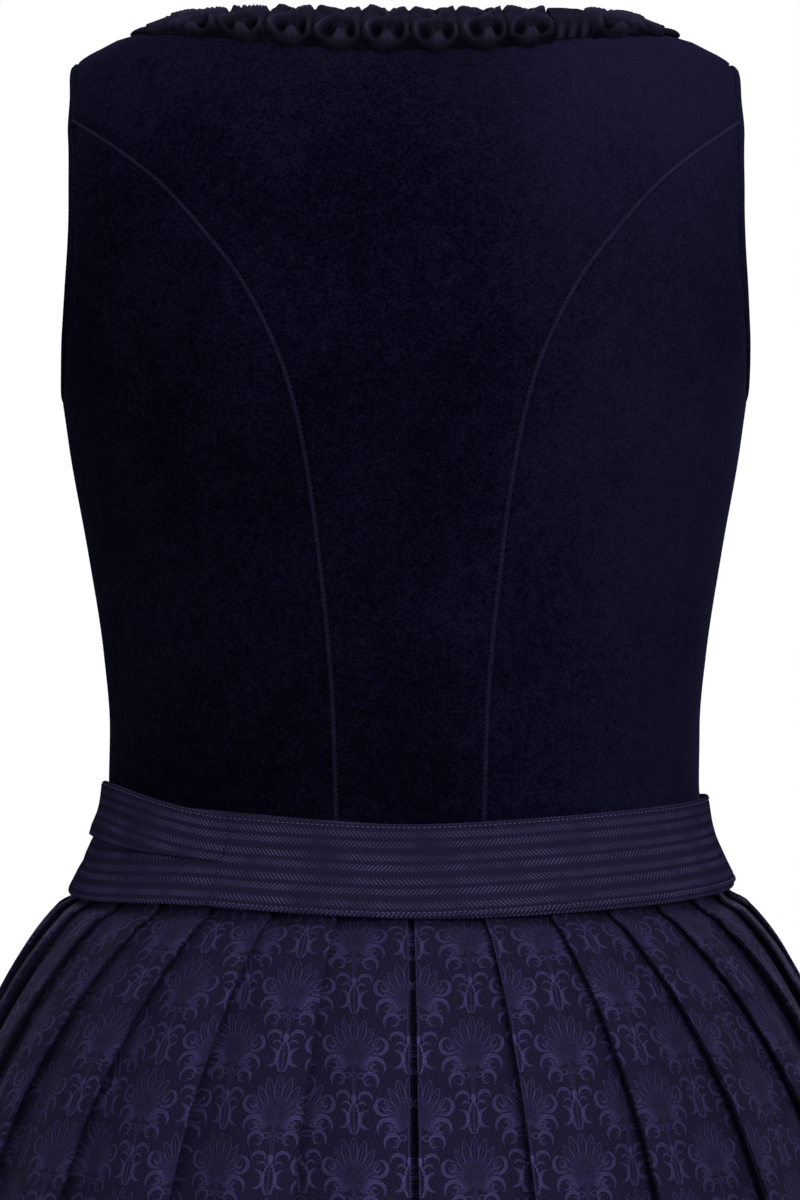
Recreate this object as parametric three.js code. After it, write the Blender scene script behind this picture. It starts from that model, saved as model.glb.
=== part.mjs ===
// A dirndl with its apron: a velvet bodice, a knife-pleated jacquard skirt, and an apron whose band
// and ties go round the waist to a bow. It is worn by nobody, so each piece is a wall round a hollow.
// Millimetres, +Z up. The wearer faces -Y and has +X on the left. The origin lies midway between the
// tops of the two shoulder straps, where the wearer carries the garment.
import * as THREE from "three";

// ---------------------------------------------------------------- driving sizes

const cloth = { velvet: 1.6, binding: 2.4, skirt: 1.5, apron: 1.4, band: 1.4, underTie: 1.0, trim: 1.2 };
const seamGap = 0.3;
const waist = -376; // height of the seam between bodice and skirt
const hem = -1026;
const neck = { halfWidth: 122, backDip: 3.5, frontDrop: 140, cornerAcross: 2.2, cornerDown: 2.6 };
const armhole = { top: -17, bottom: -170, back: 46, front: 51, bindingWidth: 3.4 };
const band = { top: -361.5, bottom: -404.5, joinAngle: 44, knotAngle: 150 };
const underTieTilt = 2; // the tie below the band rides this much higher on the left, lower on the right
const pleats = { perSide: 15, beforeSideSeam: 8, slitHalfAngle: 0.5 };
const apronCut = { top: -405.3, hem: -990, topHalfAngle: 64, hemHalfAngle: 52, gathers: 14, folds: 7 };
const trimCut = { width: 22, overEdge: 11, pitch: 22.3, rise: 5.2, clear: 0.5, tabAt: -75, tabWidth: 19 };
const button = { count: 8, radius: 6.5, height: 4.2, first: 14, pitch: 25, clear: 0.5 };

const colours = {
  velvet: 0x0b0a1c,
  trim: 0x12111f,
  jacquard: 0x241f3c,
  stripe: 0x26203c,
};

const degree = Math.PI / 180;
const centreBack = 0;
const side = 90;
const centreFront = 180;

// ---------------------------------------------------------------- tables, a row for each section

// The bodice: half its width at the side seams, and its depth behind and before them. round is the
// exponent of the section's curve, 2 for an ellipse and more for a squarer one.
const bodiceSections = [
  { height: 0, halfWidth: 122, back: 62, front: 60, round: 2.2 },
  { height: -3, halfWidth: 135, back: 64, front: 63, round: 2.2 },
  { height: -6, halfWidth: 141, back: 66, front: 66, round: 2.2 },
  { height: -12, halfWidth: 152, back: 70, front: 71, round: 2.2 },
  { height: -17, halfWidth: 157, back: 74, front: 76, round: 2.2 },
  { height: -30, halfWidth: 162.5, back: 82, front: 86, round: 2.2 },
  { height: -50, halfWidth: 168.5, back: 90, front: 97, round: 2.22 },
  { height: -78, halfWidth: 170.5, back: 97, front: 108, round: 2.25 },
  { height: -110, halfWidth: 169.5, back: 103, front: 118, round: 2.25 },
  { height: -140, halfWidth: 166.5, back: 106, front: 126, round: 2.25 },
  { height: -170, halfWidth: 161.3, back: 107, front: 131, round: 2.22 },
  { height: -200, halfWidth: 157, back: 106.5, front: 134, round: 2.2 },
  { height: -244, halfWidth: 149.2, back: 104, front: 130, round: 2.15 },
  { height: -292, halfWidth: 142, back: 101, front: 113, round: 2.08 },
  { height: -327, halfWidth: 139.2, back: 99, front: 101, round: 2.03 },
  { height: -352, halfWidth: 139.4, back: 98.6, front: 98.6, round: 2 },
  { height: -376, halfWidth: 141, back: 100, front: 99.5, round: 2 },
];
const cup = { angle: 143, height: -214, rise: 9, halfAngle: 24, halfHeight: 44 };

// The seams that shape the bodice: how far each lies from the middle, measured straight across.
const backSeam = [
  { height: -41, across: 158 },
  { height: -58, across: 132.7 },
  { height: -74, across: 113 },
  { height: -95.5, across: 93.5 },
  { height: -116.5, across: 77.3 },
  { height: -138, across: 65.4 },
  { height: -160, across: 56.4 },
  { height: -182, across: 50.5 },
  { height: -217, across: 44.4 },
  { height: -250, across: 40.4 },
  { height: -285, across: 36.8 },
  { height: -318, across: 34.7 },
  { height: -376, across: 33.2 },
];
const frontSeam = [
  { height: -92, across: 158 },
  { height: -112, across: 137 },
  { height: -140, across: 112 },
  { height: -170, across: 93 },
  { height: -200, across: 81 },
  { height: -230, across: 74 },
  { height: -260, across: 68 },
  { height: -300, across: 61 },
  { height: -340, across: 55 },
  { height: -376, across: 53 },
];

// The outside of the apron's band as it goes round the waist.
const bandSections = [
  { height: -350, halfWidth: 142.7, back: 101.6, front: 101.6, round: 2 },
  { height: -361.5, halfWidth: 144, back: 103.1, front: 103.1, round: 2 },
  { height: -375, halfWidth: 146.5, back: 106, front: 105.8, round: 2 },
  { height: -387, halfWidth: 151.3, back: 110.8, front: 110.2, round: 2 },
  { height: -399, halfWidth: 157.3, back: 116.2, front: 115.4, round: 2 },
  { height: -412, halfWidth: 164.2, back: 122.6, front: 121.4, round: 2 },
];

// The skirt under its pleats. step is how far a pleat's edge stands out, tuck how far each panel runs
// on below the next one, swell how round a panel is, and spread how many degrees the pleats have
// drifted towards the sides.
const skirtSections = [
  { height: -376.4, halfWidth: 136, back: 95.8, front: 95.4, step: 5.8, tuck: 6, swell: 0.2, spread: 0 },
  { height: -402.6, halfWidth: 147.2, back: 106, front: 105.8, step: 5.9, tuck: 6, swell: 0.3, spread: 0 },
  { height: -405.2, halfWidth: 149.3, back: 108, front: 107, step: 5.9, tuck: 6, swell: 0.3, spread: 0 },
  { height: -410, halfWidth: 157.6, back: 115.8, front: 112, step: 6.4, tuck: 6.2, swell: 0.7, spread: 0.6 },
  { height: -446, halfWidth: 180.5, back: 142.5, front: 138, step: 7.8, tuck: 7.5, swell: 1.8, spread: 8 },
  { height: -500, halfWidth: 203, back: 167, front: 160, step: 9, tuck: 8.5, swell: 2.2, spread: 14.5 },
  { height: -600, halfWidth: 237, back: 205, front: 197, step: 12.5, tuck: 9, swell: 2.8, spread: 17 },
  { height: -790, halfWidth: 300, back: 270, front: 261, step: 18.5, tuck: 8.4, swell: 4.1, spread: 16 },
  { height: -1026, halfWidth: 370, back: 343, front: 335, step: 25, tuck: 7, swell: 5.5, spread: 12 },
];

// The way across one pleat: share is the share of its pitch, tucked how much of the tuck is added,
// out how far it stands out in steps, and round how much of the panel's swell it has.
const pleatPath = [
  { share: 0, tucked: 0, out: 1, round: 0 },
  { share: 0.5, tucked: 0, out: 0.55, round: 1 },
  { share: 0.9, tucked: 0, out: 0.1, round: 0.3 },
  { share: 1, tucked: 0.85, out: 0.02, round: 0 },
  { share: 1, tucked: 1, out: 0.26, round: 0 },
];

// The apron over the skirt: clear is the room from the skirt's base to the apron's inside.
const apronSections = [
  { height: -405.3, clear: 7.7, gather: 0.6, fold: 0 },
  { height: -411, clear: 9, gather: 2.6, fold: 0.4 },
  { height: -426, clear: 10, gather: 4, fold: 1.5 },
  { height: -460, clear: 11, gather: 3.6, fold: 3 },
  { height: -530, clear: 13.1, gather: 2.4, fold: 6 },
  { height: -700, clear: 19.5, gather: 1.5, fold: 9.5 },
  { height: -990, clear: 29, gather: 1, fold: 13 },
];

// ---------------------------------------------------------------- reading the tables

// A function of height that returns a row with every column filled in smoothly, with no overshoot.
function reader(rows) {
  const columns = Object.keys(rows[0]).filter((name) => name !== "height");
  const spans = rows.slice(1).map((row, i) => row.height - rows[i].height);
  const slopes = {};
  for (const name of columns) {
    const rise = rows.slice(1).map((row, i) => (row[name] - rows[i][name]) / spans[i]);
    slopes[name] = rows.map((row, i) => {
      if (i === 0) return rise[0];
      if (i === rows.length - 1) return rise[i - 1];
      return rise[i - 1] * rise[i] <= 0 ? 0 : (2 * rise[i - 1] * rise[i]) / (rise[i - 1] + rise[i]);
    });
  }
  return (height) => {
    let i = 0;
    while (i < spans.length - 1 && height < rows[i + 1].height) i += 1;
    const t = THREE.MathUtils.clamp((height - rows[i].height) / spans[i], 0, 1);
    const found = { height };
    for (const name of columns) {
      const a = rows[i][name];
      const b = rows[i + 1][name];
      const lift = t * t * (3 - 2 * t);
      const bend = slopes[name][i] * (t - 2 * t * t + t ** 3) + slopes[name][i + 1] * (t ** 3 - t * t);
      found[name] = a + (b - a) * lift + bend * spans[i];
    }
    return found;
  };
}

const bodiceAt = reader(bodiceSections);
const bandAt = reader(bandSections);
const skirtAt = reader(skirtSections);
const apronAt = reader(apronSections);
const backSeamAt = reader(backSeam);
const frontSeamAt = reader(frontSeam);

// ---------------------------------------------------------------- surfaces

// The point of a section at an angle in degrees from the centre back, positive to the wearer's left.
function onSection(section, angle, height, extra = 0) {
  const across = Math.sin(angle * degree);
  const along = Math.cos(angle * degree);
  const depth = along > 0 ? section.back : section.front;
  const flat = (Math.abs(across) / section.halfWidth) ** section.round;
  const deep = (Math.abs(along) / depth) ** section.round;
  const radius = (flat + deep) ** (-1 / section.round) + extra;
  return new THREE.Vector3(radius * across, radius * along, height);
}

function bodiceSurface(angle, height) {
  const turn = (Math.acos(Math.cos(angle * degree)) / degree - cup.angle) / cup.halfAngle;
  const drop = (height - cup.height) / cup.halfHeight;
  return onSection(bodiceAt(height), angle, height, cup.rise * Math.exp(-turn * turn - drop * drop));
}

function bandSurface(angle, height) {
  return onSection(bandAt(height), angle, height);
}

// A surface moved out from another by a distance, or in if it is negative.
function moved(surface, distance) {
  return (angle, height) => {
    const place = surface(angle, height);
    const along = surface(angle + 0.1, height).sub(surface(angle - 0.1, height));
    const up = surface(angle, height + 0.4).sub(surface(angle, height - 0.4));
    return place.addScaledVector(up.cross(along).normalize(), distance);
  };
}

// The angle at which a section is a given way across, on the back (sign 1) or on the front (-1).
function angleAcross(section, across, sign) {
  const depth = sign > 0 ? section.back : section.front;
  const share = Math.min(1, across / section.halfWidth) ** section.round;
  return Math.atan2(across, sign * depth * (1 - share) ** (1 / section.round)) / degree;
}

// The angle at which a section is a given way behind (or, if negative, before) the side seams.
function angleDeep(section, deep) {
  const depth = deep > 0 ? section.back : section.front;
  const share = Math.min(1, Math.abs(deep) / depth) ** section.round;
  return Math.atan2(section.halfWidth * (1 - share) ** (1 / section.round), deep) / degree;
}

// Half the arc that a seam takes out of each panel, in degrees.
function gapAngle(height) {
  return (seamGap / 2 / bodiceAt(height).halfWidth) / degree;
}

// The armhole's edge on the back (sign 1) or front (-1), grown outwards by the width of its binding.
function armholeAngle(height, sign, grown) {
  const middle = (armhole.top + armhole.bottom) / 2;
  const half = (armhole.top - armhole.bottom) / 2 + grown;
  const deep = (sign > 0 ? armhole.back : armhole.front) + grown;
  const share = Math.min(1, Math.abs(height - middle) / half);
  return angleDeep(bodiceAt(height), sign * deep * Math.sqrt(1 - share * share));
}

const panelEdge = armhole.bindingWidth + seamGap * 2;
const armholeTop = armhole.top + panelEdge;
const armholeBottom = armhole.bottom - panelEdge;

// The neckline's height at an angle on the back, and its way across at a height on the front.
function backNeckHeight(angle) {
  return -neck.backDip * Math.cos(angle * degree) ** 2;
}
function frontNeckAcross(height) {
  const share = Math.min(1, -height / neck.frontDrop) ** neck.cornerDown;
  return neck.halfWidth * (1 - share) ** (1 / neck.cornerAcross);
}

// ---------------------------------------------------------------- solids

// A closed wall between two grids of points with the same rows and columns.
function wall(outer, inner) {
  const rows = outer.length;
  const columns = outer[0].length;
  const points = [...outer.flat(), ...inner.flat()];
  const faces = [];
  const out = (i, j) => i * columns + j;
  const back = (i, j) => rows * columns + i * columns + j;
  const quad = (a, b, c, d) => faces.push(a, b, c, a, c, d);
  for (let i = 0; i < rows - 1; i += 1) {
    for (let j = 0; j < columns - 1; j += 1) {
      quad(out(i, j), out(i, j + 1), out(i + 1, j + 1), out(i + 1, j));
      quad(back(i, j), back(i + 1, j), back(i + 1, j + 1), back(i, j + 1));
    }
    quad(out(i, 0), out(i + 1, 0), back(i + 1, 0), back(i, 0));
    quad(out(i + 1, columns - 1), out(i, columns - 1), back(i, columns - 1), back(i + 1, columns - 1));
  }
  for (let j = 0; j < columns - 1; j += 1) {
    quad(out(0, j + 1), out(0, j), back(0, j), back(0, j + 1));
    quad(out(rows - 1, j), out(rows - 1, j + 1), back(rows - 1, j + 1), back(rows - 1, j));
  }
  const geometry = new THREE.BufferGeometry().setFromPoints(points).setIndex(faces);
  geometry.computeVertexNormals();
  return geometry;
}

// A wall of one thickness below a surface. rows lists, from the top down, a height or a function of
// the angle that gives it, with the two angles between which the row runs.
function panel(surface, rows, columns, thickness) {
  const inside = moved(surface, -thickness);
  const grid = (place) =>
    rows.map((row) =>
      Array.from({ length: columns + 1 }, (_, j) => {
        const angle = row.from + ((row.to - row.from) * j) / columns;
        return place(angle, typeof row.height === "function" ? row.height(angle) : row.height);
      }),
    );
  return wall(grid(surface), grid(inside));
}

// A closed ring swept through sections that all have the same number of points.
function ring(sections) {
  const turns = sections.length;
  const corners = sections[0].length;
  const faces = [];
  for (let i = 0; i < turns; i += 1) {
    for (let j = 0; j < corners; j += 1) {
      const next = (i + 1) % turns;
      const a = i * corners + j;
      const b = i * corners + ((j + 1) % corners);
      const c = next * corners + ((j + 1) % corners);
      const d = next * corners + j;
      faces.push(a, b, c, a, c, d);
    }
  }
  const geometry = new THREE.BufferGeometry().setFromPoints(sections.flat()).setIndex(faces);
  geometry.computeVertexNormals();
  return geometry;
}

function material(colour, roughness) {
  return new THREE.MeshStandardMaterial({ color: colour, roughness, metalness: 0 });
}
const velvet = material(colours.velvet, 0.95);
const trimCloth = material(colours.trim, 0.85);
const jacquard = material(colours.jacquard, 0.6);
const stripe = material(colours.stripe, 0.6);

const dirndl = new THREE.Group();

function add(name, geometry, finish, parent = dirndl) {
  const mesh = new THREE.Mesh(geometry, finish);
  mesh.name = name;
  parent.add(mesh);
  return mesh;
}

const sides = [
  { name: "left", sign: 1 },
  { name: "right", sign: -1 },
];

// The same rows on the other side of the body, with their angles in rising order.
function mirrored(rows, sign) {
  return sign > 0 ? rows : rows.map((row) => ({ ...row, from: -row.to, to: -row.from }));
}

// ---------------------------------------------------------------- bodice

// The heights of the rows that neighbouring panels share, so that their seams run side by side.
const backCurve = [-50, -58, -68, -82, -100, -122, -144, -160, -168, -172.6];
const frontCurve = [-103, -112, -121, -129, -135.5, -139.2, -147, -160, -168, -172.6];
const belowArmhole = [-174, -190, -208, -228, -252, -282, -308, -330, -352, waist];

function backCentre() {
  const top = [1, 0.55].map((share) => ({
    height: (angle) => THREE.MathUtils.lerp(armholeTop, backNeckHeight(angle), share),
    edge: side - gapAngle(0),
  }));
  const strap = [armholeTop, -14.6, -18, -24, -32, -41].map((height) => ({
    height,
    edge: Math.min(side - gapAngle(0), armholeAngle(height, 1, panelEdge)),
  }));
  const body = [...backCurve, ...belowArmhole].map((height) => ({
    height,
    edge: angleAcross(bodiceAt(height), backSeamAt(height).across, 1) - gapAngle(height),
  }));
  return [...top, ...strap, ...body].map((row) => ({ height: row.height, from: -row.edge, to: row.edge }));
}

function backSide() {
  return [...backCurve, ...belowArmhole].map((height) => ({
    height,
    from: angleAcross(bodiceAt(height), backSeamAt(height).across, 1) + gapAngle(height),
    to: height > armholeBottom ? armholeAngle(height, 1, panelEdge) : side - gapAngle(height),
  }));
}

function frontSide() {
  return [...frontCurve, ...belowArmhole].map((height) => ({
    height,
    from: height > armholeBottom ? armholeAngle(height, -1, panelEdge) : side + gapAngle(height),
    to: angleAcross(bodiceAt(height), frontSeamAt(height).across, -1) - gapAngle(height),
  }));
}

function frontCentre() {
  const strap = [-1.2, -4, -8, armholeTop, -16, -22, -34, -50, -68, -86, -98];
  return [...strap, ...frontCurve, ...belowArmhole].map((height) => {
    const section = bodiceAt(height);
    const atSeam = angleAcross(section, frontSeamAt(height).across, -1) + gapAngle(height);
    const atArm = height > armholeTop ? side + gapAngle(0) : armholeAngle(height, -1, panelEdge);
    const atNeck = angleAcross(section, frontNeckAcross(height), -1);
    return {
      height,
      from: height > frontCurve[0] ? atArm : atSeam,
      to: height > -neck.frontDrop ? atNeck : centreFront - gapAngle(height),
    };
  });
}

add("back_centre", panel(bodiceSurface, backCentre(), 10, cloth.velvet), velvet);
for (const { name, sign } of sides) {
  add(`back_side_${name}`, panel(bodiceSurface, mirrored(backSide(), sign), 4, cloth.velvet), velvet);
  add(`front_side_${name}`, panel(bodiceSurface, mirrored(frontSide(), sign), 4, cloth.velvet), velvet);
  add(`front_centre_${name}`, panel(bodiceSurface, mirrored(frontCentre(), sign), 5, cloth.velvet), velvet);
}

// The strip that binds an armhole's edge fills the room between the panels and the armhole itself.
function armholeBinding(sign) {
  const steps = 28;
  const middle = (armhole.top + armhole.bottom) / 2;
  const half = (armhole.top - armhole.bottom) / 2;
  const edge = (turn, grown, lift) => {
    const height = middle + (half + grown) * Math.cos(turn);
    const deep = ((Math.sin(turn) > 0 ? armhole.back : armhole.front) + grown) * Math.sin(turn);
    return moved(bodiceSurface, lift)(sign * angleDeep(bodiceAt(height), deep), height);
  };
  const above = 0.4;
  const below = above - cloth.binding;
  const sections = Array.from({ length: steps }, (_, i) => {
    const turn = (i / steps) * 2 * Math.PI;
    const corners = [
      edge(turn, 0, (above + below) / 2),
      edge(turn, 0.7, above),
      edge(turn, armhole.bindingWidth, above),
      edge(turn, armhole.bindingWidth, below),
      edge(turn, 0.7, below),
    ];
    return sign > 0 ? corners.reverse() : corners;
  });
  return ring(sections);
}
for (const { name, sign } of sides) {
  add(`armhole_binding_${name}`, armholeBinding(sign), velvet);
}

// ---------------------------------------------------------------- front closing

const placket = { halfWidth: 11, thickness: 1.4, clear: 0.85 };
const placketSurface = moved(bodiceSurface, placket.clear + placket.thickness);
const placketRows = [-151.5, -162, -174, -188, -202, -216, -230, -248, -268, -288, -306, -322, -338, -356].map((height) => {
  const half = placket.halfWidth / bodiceAt(height).front / degree;
  return { height, from: centreFront - half, to: centreFront + half };
});
add("front_placket", panel(placketSurface, placketRows, 3, placket.thickness), velvet);

// A covered button is a low dome on a short neck, turned about the way it faces.
function buttonShape() {
  const rim = 0.8;
  const outline = [
    [0, 0],
    [button.radius * 0.75, 0],
    [button.radius, rim],
    [button.radius * 0.86, button.height * 0.72],
    [button.radius * 0.42, button.height * 0.97],
    [0, button.height],
  ].map(([x, y]) => new THREE.Vector2(x, y));
  return new THREE.LatheGeometry(outline, 10);
}
for (let i = 0; i < button.count; i += 1) {
  const height = placketRows[0].height - button.first - i * button.pitch;
  const seat = moved(placketSurface, button.clear)(centreFront, height);
  const ahead = moved(placketSurface, button.clear + 1)(centreFront, height).sub(seat);
  const mesh = add(`button_${i + 1}`, buttonShape(), velvet);
  mesh.position.copy(seat);
  mesh.quaternion.setFromUnitVectors(new THREE.Vector3(0, 1, 0), ahead.normalize());
}

// ---------------------------------------------------------------- gathered trim round the neckline

// The neckline from the centre front on the left, over the strap and round the back, to the centre
// front on the right: each point has its place, the way out of the cloth and the way past the edge.
function neckline() {
  const left = [];
  for (const height of [-140, -139.6, -138, -135, -131, -125, -117, -106, -92, -76, -60, -44, -30, -19, -11, -5.5, -2]) {
    left.push({ height, angle: angleAcross(bodiceAt(height), frontNeckAcross(height), -1) });
  }
  for (let angle = side; angle > centreBack; angle -= 6) {
    left.push({ height: backNeckHeight(angle), angle });
  }
  const right = [...left].reverse().map((spot) => ({ height: spot.height, angle: -spot.angle }));
  const spots = [...left, { height: backNeckHeight(0), angle: 0 }, ...right];
  const curve = new THREE.CatmullRomCurve3(
    spots.map((spot) => bodiceSurface(spot.angle, spot.height)),
    false,
    "centripetal",
  );
  const facing = new THREE.CatmullRomCurve3(
    spots.map((spot) => moved(bodiceSurface, 1)(spot.angle, spot.height).sub(bodiceSurface(spot.angle, spot.height))),
    false,
    "centripetal",
  );
  return { curve, facing, count: spots.length };
}

const neckPath = neckline();

// The place on the trim: along is the length in mm from its start at the centre front on the left,
// across runs from -1 on the bodice to 1 past its edge, and lift stands out from the cloth.
const neckLength = neckPath.curve.getLength();
function trimFrame(along) {
  const u = THREE.MathUtils.clamp(along / neckLength, 0, 1);
  const t = neckPath.curve.getUtoTmapping(u);
  const place = neckPath.curve.getPoint(t);
  const way = neckPath.curve.getTangent(t);
  const out = neckPath.facing.getPoint(t).normalize();
  const past = new THREE.Vector3().crossVectors(out, way).normalize();
  out.crossVectors(way, past).normalize();
  return { place, out, past };
}
function trimPoint(along, across, lift) {
  const { place, out, past } = trimFrame(along);
  const reach = across > 0 ? trimCut.overEdge : trimCut.width - trimCut.overEdge;
  place.addScaledVector(past, across * reach);
  if (across >= 0) return place.addScaledVector(out, lift);
  return moved(bodiceSurface, lift)(Math.atan2(place.x, place.y) / degree, place.z);
}

// Each frog mouth is a puff that is pinched to the middle of the strip, with its edges drawn in.
function trimPuff(along, across, from) {
  const phase = (((along - from) / trimCut.pitch) % 1) * 2 * Math.PI;
  const open = 0.5 - 0.5 * Math.cos(phase);
  const ridge = Math.max(0, 1 - Math.abs(across) * 1.2);
  const lip = 0.55 + 0.45 * Math.sin(Math.PI * Math.min(1, Math.abs(across) * 1.1));
  return {
    across: across * (0.84 + 0.16 * open),
    lift: trimCut.clear + cloth.trim + trimCut.rise * (open * lip + (1 - open) * ridge * 0.25),
  };
}
function trimStrip(from, to) {
  const perPuff = 3;
  const puffs = Math.round((to - from) / trimCut.pitch);
  const pitch = (to - from) / puffs;
  const lines = [1, 0.5, 0, -0.5, -1];
  const grid = (drop) =>
    lines.map((across) =>
      Array.from({ length: puffs * perPuff + 1 }, (_, i) => {
        const along = from + (i / perPuff) * pitch;
        const puff = trimPuff(from + (i / perPuff) * trimCut.pitch, across, from);
        return trimPoint(along, puff.across, puff.lift - drop);
      }).reverse(),
    );
  return wall(grid(0), grid(cloth.trim));
}

// The strips meet on the right of the back, below a tab where the longer one is folded under.
function alongAtAcross(x) {
  let best = neckLength / 2;
  for (let along = neckLength / 2; along < neckLength * 0.75; along += 0.5) {
    if (trimFrame(along).place.x > x) best = along;
  }
  return best;
}
const tabAlong = alongAtAcross(trimCut.tabAt);
const trimEnd = 1;
add("neck_trim_long", trimStrip(trimEnd, tabAlong - trimCut.tabWidth / 2 - seamGap), trimCloth);
add("neck_trim_short", trimStrip(tabAlong + trimCut.tabWidth / 2 + seamGap, neckLength - trimEnd), trimCloth);

const tabRows = [
  { across: 1.02, lift: 4.2 },
  { across: 0.5, lift: 6.4 },
  { across: 0.05, lift: 6.6 },
  { across: -0.1, lift: 4.4 },
  { across: -0.62, lift: 3.4 },
];
function trimTab() {
  const columns = 4;
  const grid = (drop) =>
    tabRows.map((row) =>
      Array.from({ length: columns + 1 }, (_, j) =>
        trimPoint(tabAlong + (0.5 - j / columns) * trimCut.tabWidth, row.across, row.lift - drop),
      ),
    );
  return wall(grid(0), grid(cloth.trim * 2));
}
add("neck_trim_tab", trimTab(), trimCloth);

// ---------------------------------------------------------------- skirt

// A point of the skirt: turn is the angle round its ellipse in degrees, out the distance from it.
function onSkirt(section, turn, out, shiftAlong = 0) {
  const sine = Math.sin(turn * degree);
  const cosine = Math.cos(turn * degree);
  const depth = cosine > 0 ? section.back : section.front;
  const normal = new THREE.Vector2(depth * sine, section.halfWidth * cosine).normalize();
  return new THREE.Vector2(
    section.halfWidth * sine + normal.x * out + normal.y * shiftAlong,
    depth * cosine + normal.y * out - normal.x * shiftAlong,
  );
}

// Where a pleat's edge lies at a section: the pleats drift towards the sides as the skirt opens.
function pleatTurn(section, turn) {
  return turn + section.spread * Math.sin(2 * turn * degree) * Math.abs(Math.sin(turn * degree));
}

// The line of cloth across the pleats from one number to another, at one height, on the left.
function pleatLine(section, first, last) {
  const pitch = (centreFront - pleats.slitHalfAngle) / pleats.perSide;
  const edge = (i) => pleatTurn(section, pleats.slitHalfAngle + i * pitch);
  const line = [];
  const spot = (i, step) => {
    const turn = THREE.MathUtils.lerp(edge(i), edge(i + 1), step.share);
    return onSkirt(section, turn, step.out * section.step + step.round * section.swell, step.tucked * section.tuck);
  };
  if (first === 0) {
    line.push(onSkirt(section, 0, 0, seamGap / 2));
    line.push(onSkirt(section, edge(0), 0, section.tuck * 0.85));
    line.push(onSkirt(section, edge(0), section.step * 0.26, section.tuck));
  } else {
    line.push(spot(first - 1, pleatPath[4]));
  }
  for (let i = first; i < last; i += 1) {
    const steps = i === last - 1 ? pleatPath.slice(0, last === pleats.perSide ? 3 : 4) : pleatPath;
    for (const step of steps) line.push(spot(i, step));
  }
  if (last === pleats.perSide) {
    line.push(onSkirt(section, centreFront, 0, -2));
    line.push(onSkirt(section, centreFront, 0, -seamGap / 2));
  }
  return line;
}

// The two faces of the cloth along a line, each half the thickness away from it.
function bothFaces(line, height, thickness, sign) {
  const faces = { outer: [], inner: [] };
  line.forEach((point, i) => {
    const before = line[Math.max(0, i - 1)];
    const after = line[Math.min(line.length - 1, i + 1)];
    const come = point.clone().sub(before).normalize();
    const go = after.clone().sub(point).normalize();
    const normal = new THREE.Vector2(-(come.y + go.y), come.x + go.x);
    if (normal.length() < 1e-6) normal.set(-come.y, come.x);
    normal.normalize();
    const at = (distance) =>
      new THREE.Vector3(sign * (point.x + normal.x * distance), point.y + normal.y * distance, height);
    faces.outer.push(at(thickness / 2));
    faces.inner.push(at(-thickness / 2));
  });
  if (sign < 0) {
    faces.outer.reverse();
    faces.inner.reverse();
  }
  return faces;
}

function skirtPanel(first, last, sign) {
  const rows = skirtSections.map((row) =>
    bothFaces(pleatLine(skirtAt(row.height), first, last), row.height, cloth.skirt, sign),
  );
  return wall(
    rows.map((row) => row.outer),
    rows.map((row) => row.inner),
  );
}
const atSide = pleats.beforeSideSeam;
for (const { name, sign } of sides) {
  add(`skirt_back_${name}`, skirtPanel(0, atSide, sign), jacquard);
  add(`skirt_front_${name}`, skirtPanel(atSide, pleats.perSide, sign), jacquard);
}

// ---------------------------------------------------------------- apron

// A point of the apron: share runs from its left edge to its right edge, and out is further out.
function apronPoint(share, height, out = 0) {
  const section = skirtAt(height);
  const row = apronAt(height);
  const drop = (apronCut.top - height) / (apronCut.top - apronCut.hem);
  const half = THREE.MathUtils.lerp(apronCut.topHalfAngle, apronCut.hemHalfAngle, Math.sqrt(drop));
  const turn = centreFront - half + 2 * half * share;
  const gather = 0.5 - 0.5 * Math.cos(2 * Math.PI * apronCut.gathers * share);
  const fold = 0.5 - 0.5 * Math.cos(2 * Math.PI * apronCut.folds * share);
  const lift = row.clear + cloth.apron + gather * row.gather + fold * row.fold + out;
  const spot = onSkirt(section, turn, lift);
  return new THREE.Vector3(spot.x, spot.y, height);
}
const apronColumns = apronCut.gathers * 3;
const apronGrid = (out) =>
  apronSections.map((row) =>
    Array.from({ length: apronColumns + 1 }, (_, j) => apronPoint(j / apronColumns, row.height, out)),
  );
add("apron_panel", wall(apronGrid(0), apronGrid(-cloth.apron)), stripe);

// ---------------------------------------------------------------- band and ties

// A strip round the waist from one angle to another, with a top and a bottom edge that can rise.
function waistStrip(surface, from, to, top, bottom, thickness, columns, levels) {
  const rows = Array.from({ length: levels + 1 }, (_, i) => ({
    height: (angle) => THREE.MathUtils.lerp(top(angle), bottom(angle), i / levels),
    from,
    to,
  }));
  return panel(surface, rows, columns, thickness);
}

const joinGap = 0.12; // half the gap between two lengths of band, in degrees
// The band hangs lower at the centre back and rides up over the hips, and is narrower behind.
const hang = { back: -1.2, hip: 3.2, narrower: 3.7, from: 86, to: 108 };
function fading(angle) {
  return 1 - THREE.MathUtils.smoothstep(Math.abs(angle), hang.from, hang.to);
}
function hung(angle) {
  const across = (Math.hypot(Math.sin(angle * degree), 0.3) - 0.3) / 0.744;
  const behind = Math.cos(angle * degree) > 0 ? 1 - across : 0;
  return (hang.back * behind + hang.hip * across) * fading(angle);
}
function hungBelow(angle) {
  return hung(angle) + hang.narrower * fading(angle);
}
const afterKnot = centreFront * 2 - band.knotAngle;
add(
  "apron_band",
  waistStrip(
    bandSurface,
    -afterKnot + joinGap,
    band.joinAngle - joinGap,
    (angle) => band.top + hung(angle),
    (angle) => band.bottom + hungBelow(angle),
    cloth.band,
    38,
    3,
  ),
  stripe,
);

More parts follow.
